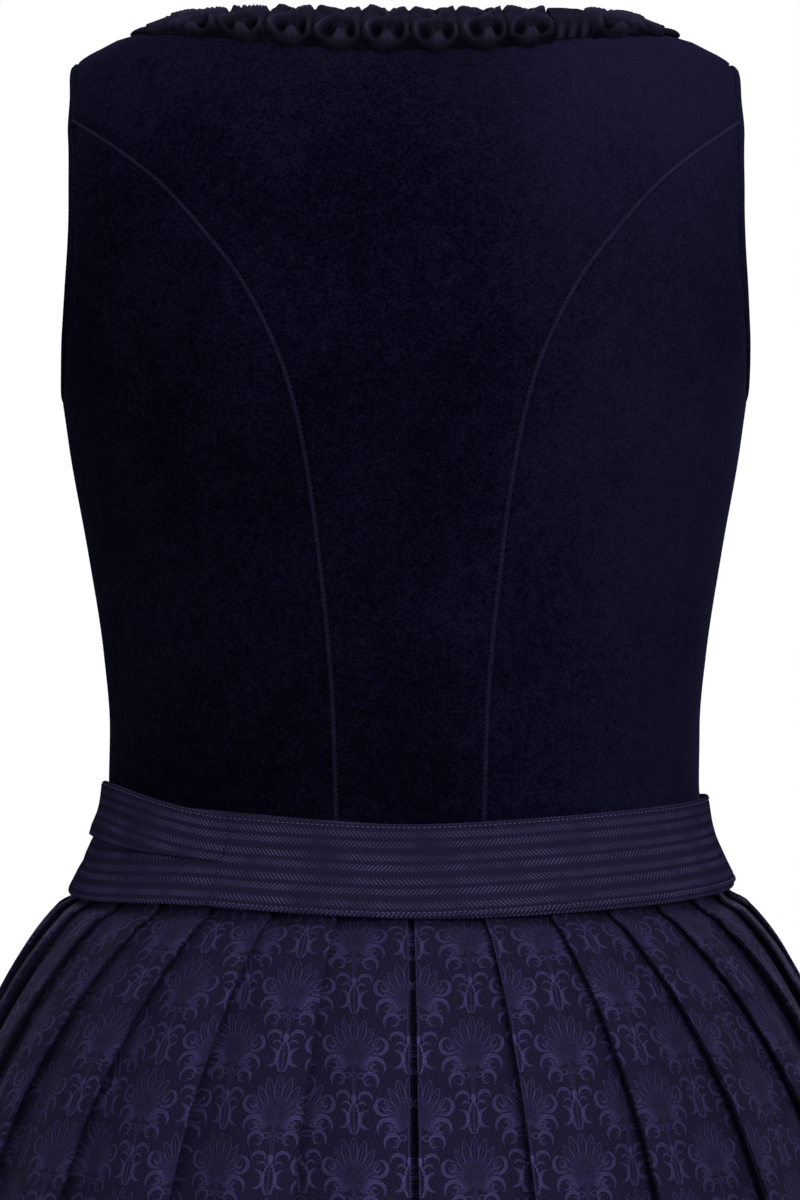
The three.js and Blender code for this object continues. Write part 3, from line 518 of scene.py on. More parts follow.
def makeDamask():
    look = damaskLook
    material, tree, shader = newMaterial("palmette jacquard", look["ground"], look["groundRoughness"])
    m = Maths(tree)
    u, v = clothMap(tree, m)
    width, drop = look["columnWidth"], look["dropHeight"]
    column = m.div(u, width)
    odd = m.mul(m.part(m.mul(m.whole(column), 0.5)), 2)
    x = m.size(m.mul(m.sub(m.part(column), 0.5), width))
    y = m.mul(m.sub(0.5, m.part(m.add(m.div(v, drop), m.mul(odd, 0.5)))), drop)
    marks = []

    def mark(value):
        # joined at once, so that few values wait for the end
        marks[:] = [m.most(marks[0], value) if marks else value]

    # the palmette: outlined petals that spring from its stem, the middle one tallest
    py = m.sub(y, look["fanAt"])
    reach = m.length(x, py)
    turn = m.angle(x, py)  # 0 straight up, either way to the side
    step = look["petalStep"]
    number = m.op("ROUND", m.div(turn, step))
    off = m.size(m.sub(turn, m.mul(number, step)))
    lobe = m.most(m.cos(m.mul(number, step * 0.78)), 0)
    tall = m.add(8.6, m.mul(13.2, m.mul(lobe, m.mul(lobe, lobe))))
    share = m.div(reach, tall)
    spreadOut = m.below(m.size(turn), 2.1, 0.04)
    inside = m.mul(m.below(share, 1.0, 0.002), spreadOut)
    petal = m.mul(m.sin(m.mul(m.least(m.op("POWER", share, 1.9), 1), math.pi)), step * 0.44)
    away = m.mul(m.size(m.sub(off, petal)), reach)
    dense = m.sub(1, m.mul(m.below(share, 0.5, 0.2), 0.62))
    barbs = m.add(0.72, m.mul(m.sin(m.mul(reach, 5.2)), 0.28))
    mark(m.mul(m.mul(m.mul(m.below(away, 0.22, 0.13), inside), dense), barbs))
    heart = m.mul(m.below(share, 0.9, 0.03), m.sub(0.8, m.below(share, 0.42, 0.12)))
    mark(m.mul(m.mul(m.below(m.mul(off, reach), 0.13, 0.10), heart), spreadOut))
    # its stem, with a small leaf on each side
    stem = m.mul(m.below(m.size(m.sub(x, 0.55)), 0.2, 0.12), m.below(m.size(m.add(y, 4.0)), 7.5, 0.3))
    mark(m.mul(stem, 0.55))
    leaf = m.size(m.sub(m.length(m.sub(x, 3.2), m.mul(m.add(y, 1.2), 1.5)), 1.7))
    mark(m.mul(m.below(leaf, 0.3, 0.14), 0.9))

    def curl(across, upward, cx, cy, radius, start, extent, thick):
        # a hooked leaf: an arc that tightens, thick in the middle and thin at both ends
        dx, dy = m.sub(across, cx), m.sub(upward, cy)
        turned = m.div(m.part(m.div(m.sub(m.angle(dy, dx), start), 2 * math.pi)), extent)
        line = m.mul(m.sub(1.08, m.mul(turned, 0.3)), radius)
        swell = m.mul(m.add(m.sin(m.mul(m.least(turned, 1), math.pi)), 0.22), thick)
        off = m.size(m.sub(m.length(dx, dy), line))
        body = m.mul(m.below(off, swell, 0.15), m.below(turned, 1, 0.02))
        vein = m.sub(1, m.mul(m.below(off, m.mul(swell, 0.3), 0.12), 0.6))
        mark(m.mul(body, vein))

    x2 = m.sub(width, x)
    y2 = m.mul(m.sub(0.5, m.part(m.add(m.div(v, drop), m.add(m.mul(odd, 0.5), 0.5)))), drop)
    for values in look["curls"]:
        curl(x, y, *values)
    for values in look["wideCurls"]:
        curl(x, y, *values)
        curl(x2, y2, *values)
    # the bud below each palmette, with toothed sides and a long point
    by = m.sub(y, look["budAt"])
    widthHere = m.mul(m.sin(m.mul(m.clamp(m.div(m.add(by, 8.5), 17)), math.pi)), 3.1)
    tooth = m.mul(m.sub(m.part(m.div(by, 1.7)), 0.5), 1.1)
    rim = m.size(m.sub(x, m.add(m.mul(widthHere, 0.85), m.mul(tooth, m.div(widthHere, 3.1)))))
    tallEnough = m.below(m.size(by), 8.2, 0.2)
    mark(m.mul(m.below(rim, 0.42, 0.16), tallEnough))
    mark(m.mul(m.below(x, 0.3, 0.14), m.mul(tallEnough, 0.5)))
    mark(m.below(m.length(x, m.mul(m.sub(by, 9.2), 0.7)), 1.25, 0.2))
    # stitches in the cloth between the leaves, fainter

    def dashes(value, spacing, reach):
        return m.below(m.size(m.sub(m.part(m.div(value, spacing)), 0.5)), reach, 0.08)

    speck = m.mul(dashes(m.add(y, m.mul(x, 0.7)), 1.9, 0.17), dashes(m.sub(x, m.mul(y, 0.4)), 2.3, 0.15))
    mark(m.mul(speck, 0.28))

    figure = marks[0]
    uneven = noise(tree, Scale=14, Detail=4)
    fleck = noise(tree, Scale=900, Detail=2)
    worn = m.add(0.62, m.mul(uneven, 0.5))
    share = m.mul(figure, m.mul(worn, m.add(0.75, m.mul(fleck, 0.5))))
    share = m.add(share, m.mul(m.sub(fleck, 0.5), 0.35))
    weavePattern(tree, shader, m, look, share, figure, m.add(u, m.mul(v, 0.6)))
    tree.links.new(m.mul(figure, look["satin"]), shader.inputs["Metallic"])
    setInputs(shader, Specular_IOR_Level=0.01, Specular_Tint=(0.35, 0.32, 0.7, 1),
              Sheen_Weight=0.006, Sheen_Roughness=0.4, Sheen_Tint=(0.6, 0.6, 1.0, 1))
    return material


earLook = {
    "ground": (0.0028, 0.0021, 0.0058), "figure": (0.0135, 0.0108, 0.0292), "groundRoughness": 0.6,
    "figureRoughness": 0.34, "thread": 0.3, "relief": 0.0002, "pitch": 1.95, "reach": 3.6, "lean": 0.95,
}


def makeEarStripe(name, first, spacing):
    # rows of ears: two lines of slanted stitches that meet, repeated down the cloth
    look = earLook
    material, tree, shader = newMaterial(name, look["ground"], look["groundRoughness"])
    m = Maths(tree)
    u, v = clothMap(tree, m)
    pitch, reach = look["pitch"], look["reach"]
    row = m.mul(m.sub(m.part(m.add(m.div(m.sub(v, first), spacing), 0.5)), 0.5), spacing)
    away = m.size(row)
    dash = m.size(m.sub(m.part(m.div(m.sub(u, m.mul(away, look["lean"])), pitch)), 0.5))
    grain = m.mul(m.below(dash, 0.19, 0.07), m.below(m.size(m.sub(away, reach * 0.66)), reach * 0.39, 0.2))
    # faint marks beside each ear, where the next threads turn
    small = m.size(m.sub(m.part(m.div(m.add(u, m.mul(away, 0.9)), pitch * 0.8)), 0.5))
    beside = m.mul(m.below(small, 0.16, 0.08), m.below(m.size(m.sub(away, reach + 0.9)), 0.3, 0.14))
    figure = m.most(grain, m.mul(beside, 0.22))
    fleck = noise(tree, Scale=1100, Detail=2)
    uneven = noise(tree, Scale=60, Detail=5)
    share = m.mul(figure, m.mul(m.sub(uneven, 0.22), 2.1))
    share = m.add(share, m.mul(m.sub(fleck, 0.45), 0.22))
    weavePattern(tree, shader, m, look, share, figure, m.sub(u, m.mul(v, 0.7)))
    setInputs(shader, Specular_IOR_Level=0)
    return material


def makeThread(name, colour):
    material, tree, shader = newMaterial(name, colour, 0.45)
    twist = noise(tree, Scale=2500, Detail=1)
    darker = tuple(c * 0.6 for c in colour)
    tree.links.new(mixColour(tree, twist, darker, colour), shader.inputs["Base Color"])
    setInputs(shader, Specular_IOR_Level=0.02)
    addBump(tree, shader, twist, 0.0002, 0.5)
    return material


velvet = makeVelvet("navy velvet", velvetLook["pile"], velvetLook["brushedAndLit"])
# the welts get a lighter copy of the velvet: a painted highlight along the seam ridges
seamRidge = makeVelvet("velvet seam, rubbed", (0.0013, 0.0012, 0.0034), (0.0034, 0.0031, 0.0084))
trimCloth = makeTrimCloth()
damask = makeDamask()
bandStripe = makeEarStripe("ear stripe of the band", 7.4, 11.0)
apronStripe = makeEarStripe("ear stripe of the apron", 12, 24)
seamThread = makeThread("seam thread", (0.0030, 0.0028, 0.0075))
edgeThread = makeThread("edge thread", (0.0012, 0.0011, 0.0030))
bandThread = makeThread("band thread", (0.034, 0.029, 0.068))
joinThread = makeThread("join thread", (0.006, 0.005, 0.013))
print("materials made")

# pitch, length, width, thread and slot of each kind of stitch
stitchKinds = {
    "seam": (2.3, 1.5, 0.42, seamThread, "bodice_velvet"),
    "placket": (2.6, 1.6, 0.42, seamThread, "bodice_velvet"),
    "armhole": (2.6, 1.5, 0.4, edgeThread, "bodice_velvet"),
    "band": (2.3, 1.45, 0.30, bandThread, "apron_stripe"),
    "join": (2.2, 1.4, 0.30, joinThread, "apron_stripe"),
}
stitchPaths = []  # name, points, facing, kind


def finishPiece(piece, material, slotName, *nodes):
    piece.data.materials.clear()
    piece.data.materials.append(material)
    if nodes:
        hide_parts(*nodes)
    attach(piece, "root")
    return piece


# bodice

bodicePlan = {
    "columns": 46, "sideColumns": 26, "rowStep": 2.4, "waist": -376, "armholeStarts": -41,
    "rumple": 0.45, "drag": 0.5, "thickness": 1.6, "seamDip": 0.7, "seamWidth": 1.8,
}
waist = bodicePlan["waist"]
panelEdge = armCut["binding"] + gap * 0.4
armTop = armCut["top"] + panelEdge
armBottom = armCut["bottom"] - panelEdge


def spread(start, stop, step):
    return np.linspace(start, stop, max(2, int(abs(stop - start) / step) + 1))


def panelGrid(heights, left, right, columns):
    angle = left[:, None] + (right - left)[:, None] * np.linspace(0, 1, columns + 1)[None]
    return angle, np.broadcast_to(heights[:, None], angle.shape)


def velvetPanel(name, angle, height, seams=(True, True)):
    # seams: whether the cloth dips at the edge on the left and on the right
    look = bodicePlan
    grid = bodiceSurface(angle, height)
    u, _ = flatLengths(grid)
    dip = np.zeros(angle.shape)
    for wanted, far in zip(seams, (u, u[:, -1:] - u)):
        if wanted:
            dip = dip + look["seamDip"] * hump(far, look["seamWidth"])
    normals = facing(bodiceSurface, angle, height)
    rumple = look["rumple"] * soften(grid[..., 0] / 26 + grid[..., 1] / 30, height / 38, 4)
    drag = look["drag"] * hump(height + 352, 14) * soften(grid[..., 0] / 9, height / 60, 9)
    rumple = rumple * ramp(u, 0, 14) * ramp(u[:, -1:] - u, 0, 14)
    grid = grid + normals * (rumple + drag - dip)[..., None]
    piece = clothShell(name, grid, look["thickness"], normals=normals)
    finishPiece(piece, velvet, "bodice_velvet", name)


def backCentre():
    top, columns = 9, bodicePlan["columns"] + 1
    edgeTop = 90 - gapAngle(0.0)
    # the rows above the armhole bend with the neckline
    armRows = spread(armTop, bodicePlan["armholeStarts"], 1.6)[1:]
    seamRows = spread(bodicePlan["armholeStarts"], waist, bodicePlan["rowStep"])[1:]
    armEdge = np.minimum(edgeTop, armholeAngle(armRows, 1, panelEdge))
    seamEdge = angleAcross(bodiceAt(seamRows), backSeamAt(seamRows)[0]) - gapAngle(seamRows)
    besideArm = np.minimum(armholeAngle(seamRows, 1, panelEdge), seamEdge)
    seamEdge = np.where(seamRows > -50, besideArm, seamEdge)
    edge = np.concatenate([np.full(top, edgeTop), armEdge, seamEdge])
    angle = edge[:, None] * np.linspace(-1, 1, columns)[None]
    topRows = armTop + (backNeckHeight(angle[:top]) - armTop) * (1 - np.linspace(0, 1, top)[:, None])
    rest = np.broadcast_to(np.concatenate([armRows, seamRows])[:, None], (len(edge) - top, columns))
    return angle, np.concatenate([topRows, rest])


def sideRows(isBack):
    start = -43.5 if isBack else -97
    besideArm, below = spread(-152, armBottom + 0.05, 1.2), spread(armBottom - 0.4, waist, 2.4)
    heights = np.concatenate([spread(start, -150, 2.2), besideArm, below])
    arm = armholeAngle(heights, 1 if isBack else -1, panelEdge)
    sideSeam = 90 - gapAngle(heights) if isBack else 90 + gapAngle(heights)
    outer = np.where(heights > armBottom, arm, sideSeam)
    if isBack:
        inner = angleAcross(bodiceAt(heights), backSeamAt(heights)[0]) + gapAngle(heights)
        inner = np.minimum(inner, outer - 0.2)
        return heights, inner, outer
    inner = angleAcross(bodiceAt(heights), frontSeamAt(heights)[0], False) - gapAngle(heights)
    return heights, outer, np.maximum(inner, outer + 0.2)


def frontCentreRows():
    heights = np.concatenate([spread(-1.2, -96, 2.0), spread(-98, -139.6, 1.4), spread(-140.2, waist, 2.4)])
    section = bodiceAt(heights)
    atArm = np.where(heights > armTop, 90 + gapAngle(heights * 0), armholeAngle(heights, -1, panelEdge))
    atSeam = angleAcross(section, frontSeamAt(heights)[0], False) + gapAngle(heights)
    atNeck = angleAcross(section, frontNeckAcross(heights), False)
    left = np.where(heights > -97, atArm, np.maximum(atSeam, np.where(heights > armBottom, atArm, 0)))
    return heights, left, np.where(heights > -neckCut["frontDrop"], atNeck, 180 - gapAngle(heights))


velvetPanel("back_centre", *backCentre())
panels = [
    ("back_side", lambda: sideRows(True), (True, True)), ("front_side", lambda: sideRows(False), (True, True)),
    ("front_centre", frontCentreRows, (True, False)),
]
for sideName, sign in (("left", 1), ("right", -1)):
    for label, rowsFor, seams in panels:
        heights, left, right = rowsFor()
        if sign < 0:
            left, right, seams = -right, -left, seams[::-1]
        angle, height = panelGrid(heights, left, right, bodicePlan["sideColumns"])
        velvetPanel(f"{label}_{sideName}", angle, height, seams)
print("bodice panels made")

weltPlan = {"width": 1.9, "height": 1.5, "lift": -0.1, "step": 3, "stitchesBeside": 1.5, "stitchLift": 0.12}
for sideName, sign in (("left", 1), ("right", -1)):
    for label, table, back, top in (("back", backSeamAt, True, -43), ("front", frontSeamAt, False, -94)):
        heights = spread(top, waist + 1, weltPlan["step"])
        angle = sign * angleAcross(bodiceAt(heights), table(heights)[0], back)
        path = lifted(bodiceSurface, angle, heights, weltPlan["lift"])
        normals = facing(bodiceSurface, angle, heights)
        welt = cordAlong(f"{label}_seam_welt_{sideName}", path, normals, weltPlan["width"], weltPlan["height"])
        finishPiece(welt, seamRidge, "bodice_velvet")
        aside = sign * weltPlan["stitchesBeside"] / (bodiceAt(heights)[0] * deg) * (1 if back else -1)
        beside = lifted(bodiceSurface, angle - aside, heights, weltPlan["stitchLift"])
        stitchPaths.append((f"{label}_seam_stitches_{sideName}", beside, normals, "seam"))

# how far past the armhole's edge, and how high off the cloth
bindingProfile = [
    (0, -0.9), (0.05, -0.2), (0.5, 0.35), (1.4, 0.62), (2.6, 0.5), (armCut["binding"], -0.1),
    (armCut["binding"], -1.9), (0.6, -1.9),
]
bindingPlan = {"steps": 132, "stitchesAt": 2.9, "stitchLift": 0.35, "cutWidth": 0.012, "foldedWidth": 0.006}


def armholeBinding(sideName, sign):
    look = bindingPlan
    turn = np.arange(look["steps"]) / look["steps"] * 2 * math.pi
    middle = (armCut["top"] + armCut["bottom"]) / 2
    half = (armCut["top"] - armCut["bottom"]) / 2

    def edge(grown, lift):
        height = middle + (half + grown) * np.cos(turn)
        deep = (np.where(np.sin(turn) > 0, armCut["back"], armCut["front"]) + grown) * np.sin(turn)
        return lifted(bodiceSurface, sign * angleDeep(bodiceAt(height), deep), height, lift)

    sections = np.stack([edge(grown, lift) for grown, lift in bindingProfile], axis=1)
    if sign > 0:
        sections = sections[:, ::-1]
    name = f"armhole_binding_{sideName}"
    piece = finishPiece(clothRing(name, sections), velvet, "bodice_velvet", name)
    line = edge(look["stitchesAt"], look["stitchLift"])
    outward = unit(edge(look["stitchesAt"], look["stitchLift"] + 1) - line)
    line, outward = np.concatenate([line, line[:1]]), np.concatenate([outward, outward[:1]])
    stitchPaths.append((f"armhole_stitches_{sideName}", line, outward, "armhole"))


armholeBinding("left", 1)
armholeBinding("right", -1)

# front closing

placketPlan = {
    "top": -151.5, "bottom": -356, "halfWidth": 11, "thickness": 1.4, "clear": 0.85, "stitchesAt": 0.82,
    "buttons": 8, "first": 14, "pitch": 25,
}
heights = spread(placketPlan["top"], placketPlan["bottom"], 2.4)
placketLift = placketPlan["clear"] + placketPlan["thickness"]
halfTurn = placketPlan["halfWidth"] / bodiceAt(heights)[2] / deg
grid = lifted(bodiceSurface, *panelGrid(heights, 180 - halfTurn, 180 + halfTurn, 14), placketLift)
placket = clothShell("front_placket", grid, placketPlan["thickness"])
finishPiece(placket, velvet, "bodice_velvet", "front_placket")
for shift, label in ((placketPlan["stitchesAt"], "left"), (-placketPlan["stitchesAt"], "right")):
    line = lifted(bodiceSurface, 180 - halfTurn * shift, heights, placketLift + 0.05)
    normals = facing(bodiceSurface, heights * 0 + 180, heights)
    stitchPaths.append((f"placket_stitches_{label}", line, normals, "placket"))

# radius and rise of a button's rings, from its back to its crown
buttonProfile = [
    (4.6, 0.1), (5.9, 0.45), (6.45, 1.1), (6.35, 1.9), (5.6, 2.9), (4.4, 3.6), (3.0, 4.0), (1.5, 4.18),
]
buttonPlan = {
    "around": 28, "puckers": 14, "puckerDepth": 0.012, "puckersBelow": 2.4, "crown": 4.22, "back": 0.1,
}


def coveredButtons():
    # domes of velvet over a mould, with a puckered rim, turned the way the placket faces
    points, faces, around = [], [], buttonPlan["around"]
    for k in range(placketPlan["buttons"]):
        z = placketPlan["top"] - placketPlan["first"] - k * placketPlan["pitch"]
        spot = np.array([180.0]), np.array([z])
        seat, out = lifted(bodiceSurface, *spot, placketLift + 0.5)[0], facing(bodiceSurface, *spot)[0]
        across = unit(np.cross(out, np.array([0, 0, 1.0])))
        up = np.cross(across, out)
        base = len(points)
        for radius, rise in buttonProfile:
            for j in range(around):
                turn = j / around * 2 * math.pi
                pucker = buttonPlan["puckerDepth"] * math.cos(buttonPlan["puckers"] * turn)
                r = radius * (1 + (pucker if rise < buttonPlan["puckersBelow"] else 0))
                points.append(seat + across * r * math.cos(turn) + up * r * math.sin(turn) + out * rise)
        points += [seat + out * buttonPlan["crown"], seat + out * buttonPlan["back"]]
        tip, bottom = len(points) - 2, len(points) - 1
        last = tip - around
        for j in range(around):
            after = (j + 1) % around
            for ring in range(base, last, around):
                faces.append([ring + j, ring + after, ring + after + around, ring + j + around])
            faces += [[last + j, last + after, tip], [base + after, base + j, bottom]]
    piece = meshObject("covered_buttons", points, faces)
    tidyNormals(piece)
    finishPiece(piece, velvet, "bodice_velvet", *[f"button_{k + 1}" for k in range(placketPlan["buttons"])])


coveredButtons()
print("closing made")

# gathered trim: a strip pinched into frog mouths along the neckline

trimPlan = {
    "width": 22, "overEdge": 11, "pitch": 22.3, "tabAt": -75, "tabWidth": 19, "lift": 0.5, "puff": 7.2,
    "inward": 8.5, "higher": 6.0, "flatterAtShoulder": 0.5, "columns": 36,
}


def sampled(at, length, values):
    return np.stack([np.interp(at, length, values[:, k]) for k in range(3)], axis=-1)


def lengthAlong(points):
    return np.concatenate([[0], np.cumsum(np.linalg.norm(np.diff(points, axis=0), axis=-1))])


def neckline():
    heights = np.array([
        -140, -139.6, -138, -135, -131, -125, -117, -106, -92, -76, -60, -44, -30, -19, -11, -5.5, -2.0,
    ])
    angles = angleAcross(bodiceAt(heights), frontNeckAcross(heights), False)
    overStrap = np.arange(90, 0, -6.0)
    back = np.concatenate([overStrap, [0], -overStrap[::-1]])
    angle = np.concatenate([angles, back, -angles[::-1]])
    height = np.concatenate([heights, backNeckHeight(back), heights[::-1]])
    points = bodiceSurface(angle, height)
    length = lengthAlong(points)
    # a smooth line through the points, by their length
    fine = np.linspace(0, length[-1], 1600)
    smooth = sampled(fine, length, points)
    outward = sampled(fine, length, facing(bodiceSurface, angle, height))
    kernel = np.hanning(41)
    kernel /= kernel.sum()
    for values in (smooth, outward):
        for k in range(3):
            padded = np.pad(values[:, k], 20, mode="reflect", reflect_type="odd")
            values[:, k] = np.convolve(padded, kernel, mode="valid")
    way = unit(np.gradient(smooth, axis=0))
    past = unit(np.cross(unit(outward), way))
    return smooth, unit(np.cross(way, past)), past, lengthAlong(smooth)


neckPoints, neckOut, neckPast, neckLength = neckline()


def trimPlace(along, across, lift):
    # across: 1 over the edge of the neck, 0 on it and -1 down on the bodice
    look = trimPlan
    place, out, past = (sampled(along, neckLength, values) for values in (neckPoints, neckOut, neckPast))
    out, past = unit(out), unit(past)
    # at the shoulders the strip stands higher and is carried inwards over the edge
    wide = np.abs(place[..., 0])
    higher = look["overEdge"] + look["higher"] * ramp(wide, 78, 106)
    reach = np.where(across > 0, higher, look["width"] - look["overEdge"])
    inward = look["inward"] * ramp(wide, 84, 118) ** 3
    spot = place + past * (across * reach + inward)[..., None]
    onCloth = bodiceSurface(np.arctan2(spot[..., 0], spot[..., 1]) / deg, np.minimum(spot[..., 2], 0))
    return np.where((across < 0)[..., None], onCloth, spot) + out * lift[..., None]


def frogMouth(x, y, w, keep):
    # one mouth, 0 to about 1.3 high: two sharp folds that cross at the stitch above, a tongue between
    # them; x and y in mm from its middle, w its own random numbers, keep 0 where neighbours meet
    x = x + (1.5 * w[0] + 1.1 * np.sign(w[2])) * keep
    y = y + 0.9 * w[1] * keep
    side, middle = np.abs(x), x - 0.8 * w[5]
    ringAt = np.hypot(x / 10.5, (y + 4.1) / (7.0 + 0.5 * w[3]))
    wavy = 0.05 * np.sin(5 * np.arctan2(side, y + 4.1) + 3 * w[4])
    ring = hump(ringAt - 0.93 + wavy, 0.125) * smoothStep(y, -10.5, -6.0)

    def ray(angle, wide, start, stop):
        # a fold that leaves the stitch at an angle from straight up, on both sides
        a, dy = (angle + 7 * w[6]) * deg, y - 2.4
        off, out = side * np.cos(a) - dy * np.sin(a), side * np.sin(a) + dy * np.cos(a)
        return hump(off, wide) * ramp(out - start, 0, 2) * ramp(stop - out, 0, 2)

    tongue = np.exp(-(np.hypot(middle / (2.0 - 0.2 * y), (y + 7.6) / 4.3) ** 4))
    hollow = hump(side - 5.0, 2.5) * hump(y + 3.4, 3.1)
    corner = hump(side - 10.2, 2.6) * (1 - smoothStep(y, -8.5, -4.0))
    petal = smoothStep(ringAt, 1.02, 1.22) * smoothStep(y, -3.0, 0.5)
    folds = 0.55 * ray(50, 0.95, 0, 14) + 0.2 * ray(22, 0.8, 0, 10)
    folds = folds + 0.24 * ray(160, 0.8, 0.5, 9) + 0.18 * ray(130, 0.8, 1.5, 7)
    notch = 0.16 * hump(middle, 0.8) * (1 - smoothStep(y, -10.5, -6.5))
    notch = notch + 0.30 * hump(x, 1.2) * smoothStep(y, 4.0, 6.5)
    return 0.36 + 0.66 * ring + 0.46 * tongue + 0.28 * petal + folds - 0.36 * hollow - 0.36 * corner - notch


def frogMouths(name, start, stop, seed):
    look = trimPlan
    rng = np.random.default_rng(seed)
    count = max(1, round((stop - start) / look["pitch"]))
    print(f"{name}: {count} mouths")
    columns = np.linspace(0, count, count * look["columns"] + 1)
    cell = np.clip(np.floor(columns), 0, count - 1).astype(int)
    s = (columns - cell) * 2 - 1  # -1 to 1 across a mouth
    keep = 1 - np.abs(s) ** 3
    w = (rng.uniform(-1, 1, (count, 9))[cell] * keep[:, None]).T[:, None]
    q = np.concatenate([np.linspace(1, 0.4, 7)[:-1], np.linspace(0.4, -1, 28)])[:, None]
    topEdge = 0.9 + 0.09 * hump(np.abs(s) - 0.46, 0.30) + 0.04 * w[7] * np.sign(s)
    lowEdge = 1.03 + 0.10 * np.cos(s * math.pi * 1.5) * (1 - 0.4 * s * s) + 0.05 * w[8]
    t = np.where(q > 0, q * topEdge, q * lowEdge)
    x = s * look["pitch"] / 2 + 0 * q
    y = t * np.where(q > 0, look["overEdge"], look["width"] - look["overEdge"])
    shape = np.maximum(frogMouth(x, y, w, keep), 0.03)
    border = hump(np.abs(s) - 1, 0.07)
    flatter = 1 - 0.42 * ramp(q, 0.35, 1) ** 1.6
    rim = 1 - 0.5 * ramp(-q, 0.90, 1) ** 2
    lift = look["puff"] * shape * (1 - 0.45 * border) * flatter * rim
    lift = np.maximum(lift + 0.13 * soften(x / 1.5 + columns * 9, y / 1.8, seed + 3, low=0.6, high=2.0), 0)
    along = start + (columns / count) * (stop - start) + 0 * q
    atShoulder = ramp(np.abs(np.interp(along, neckLength, neckPoints[:, 0])), 84, 118)
    lift = look["lift"] + 0.2 + lift * (1 - look["flatterAtShoulder"] * atShoulder)
    across = t + 0 * along
    grid = trimPlace(along, across, lift)[:, ::-1]
    floor = trimPlace(along, across, np.full(lift.shape, look["lift"] - 0.15))[:, ::-1]
    # painted light: the higher the cloth stands, the lighter its colour; the hollows get painted shade
    paintedRidgeLight = np.clip((shape - 0.12) / 0.95, 0, 1)[:, ::-1] ** 1.5
    uv = np.stack([paintedRidgeLight * mm, 0 * paintedRidgeLight], axis=-1)
    finishTrim(name, grid, floor, uv)


def finishTrim(name, grid, floor, uv):
    piece = finishPiece(shellBetween(name, grid, floor, uv), trimCloth, "trim_cloth", name)


search = np.linspace(neckLength[-1] / 2, neckLength[-1] * 0.75, 600)
xAt = np.interp(search, neckLength, neckPoints[:, 0])
tabAlong = search[np.argmin(np.abs(xAt - trimPlan["tabAt"]))]
halfTab = trimPlan["tabWidth"] / 2
frogMouths("neck_trim_long", 1, tabAlong - halfTab - gap, 21)
frogMouths("neck_trim_short", tabAlong + halfTab + gap, neckLength[-1] - 1, 22)

# place across and lift of the tab's rows, with a step where the cloth turns under
tabProfile = np.array([
    (1.0, 3.6), (0.97, 4.6), (0.8, 5.3), (0.5, 5.6), (0.22, 5.7), (0.12, 6.1), (0.02, 6.4), (-0.14, 6.2),
    (-0.22, 5.2), (-0.3, 4.4), (-0.5, 4.2), (-0.66, 3.4), (-0.78, 2.2), (-0.82, 1.2),
])


def trimTab():
    # the strip's end folded flat over the join
    place, lift = tabProfile[:, :1], tabProfile[:, 1:]
    share = np.linspace(0.5, -0.5, 25)[None]
    along = tabAlong + share * trimPlan["tabWidth"] * (1 + 0.05 * np.cos(place * 2))
    across = np.broadcast_to(place, along.shape)
    gathers = np.clip(-place * 1.6, 0, 1) * np.cos(share * 21 + 0.6)
    lift = lift + 0.55 * gathers - 0.6 * (np.abs(share) * 2) ** 6
    lift = lift + 0.12 * soften(share * 8, place * 3, 5)
    grid = trimPlace(along, across, lift)
    floor = trimPlace(along, across, np.full(lift.shape, trimPlan["lift"]))
    # painted light: the gathers' ridges get a lighter colour, the folds between them darker
    uv = np.stack([(0.25 + 0.3 * gathers) * mm, 0 * along], axis=-1)
    finishTrim("neck_trim_tab", grid, floor, uv)


trimTab()
print("neck trim made")

# skirt: knife pleats that face the centre back

pleatPlan = {"perSide": 15, "beforeSideSeam": 8, "slit": 0.5, "thickness": 1.0, "across": 9, "shown": 0.94}
# each pleat's tuck: share of the step out, of the tuck in, and mm of cloth past the front
tuckPath = [(0.05, 0.55, 3.0), (0.02, 0.92, 6.0), (0.14, 1, 9.0), (0.3, 0.9, 12.0), (0.66, 0.42, 18.0)]
# the inverted pleat at the centre back: angle, share of the step out, mm in, share of the tuck in
slitPath = [(0, 0, 0.2, 0), (0.5, 0, 0, 0.8), (0.5, 0.14, 0, 0.98), (0.5, 0.5, 0, 0.6)]
# top, bottom and spacing of the rows of points
skirtRows = [
    (-376.4, -402.6, 5), (-405.2, -410, 1.6), (-412.5, -446, 2.6), (-450, -620, 5), (-630, -1026, 11),
]


def onSkirt(section, turn, out, shift=0.0):
    halfWidth, back, front = section[:3]
    s, c = np.sin(turn * deg), np.cos(turn * deg)
    depth = np.where(c > 0, back, front)
    nx, ny = depth * s, halfWidth * c
    size = np.hypot(nx, ny)
    nx, ny = nx / size, ny / size
    return np.stack([halfWidth * s + nx * out + ny * shift, depth * c + ny * out - nx * shift], axis=-1)


def pleatTurn(section, turn):
    return turn + section[6] * np.sin(2 * turn * deg) * np.abs(np.sin(turn * deg))


def pleatFront(column, a, b, down, rng):
    # from its folded edge to where it slips under the next one
    step, swell = column[3], column[5]
    share = np.linspace(0, 1, pleatPlan["across"] + 1)[None] * pleatPlan["shown"]
    turn = a + (b - a) * share
    fall = np.interp(share[0], [0, 0.5, 0.9, 1], [1, 0.55, 0.1, 0.02])[None]
    roundness = np.sin(share * math.pi) ** 0.8
    sway = np.sin(share * math.pi * 2 + rng.uniform(0, 6) + down / rng.uniform(90, 170))
    out = fall * step + roundness * swell + swell * 0.5 * ramp(down, 26, 66) * sway
    for _ in range(2):  # short soft folds that fade below the band
        at, wide = rng.uniform(0.2, 0.8), rng.uniform(0.06, 0.12)
        lean, fade = rng.uniform(-0.0016, 0.0016), rng.uniform(24, 60)
        fading = hump((down - 34).clip(0), fade) * ramp(down, 30, 38)
        out = out - rng.uniform(0.5, 1.3) * hump(share - at - lean * down, wide) * fading
    return onSkirt(column, turn, out)


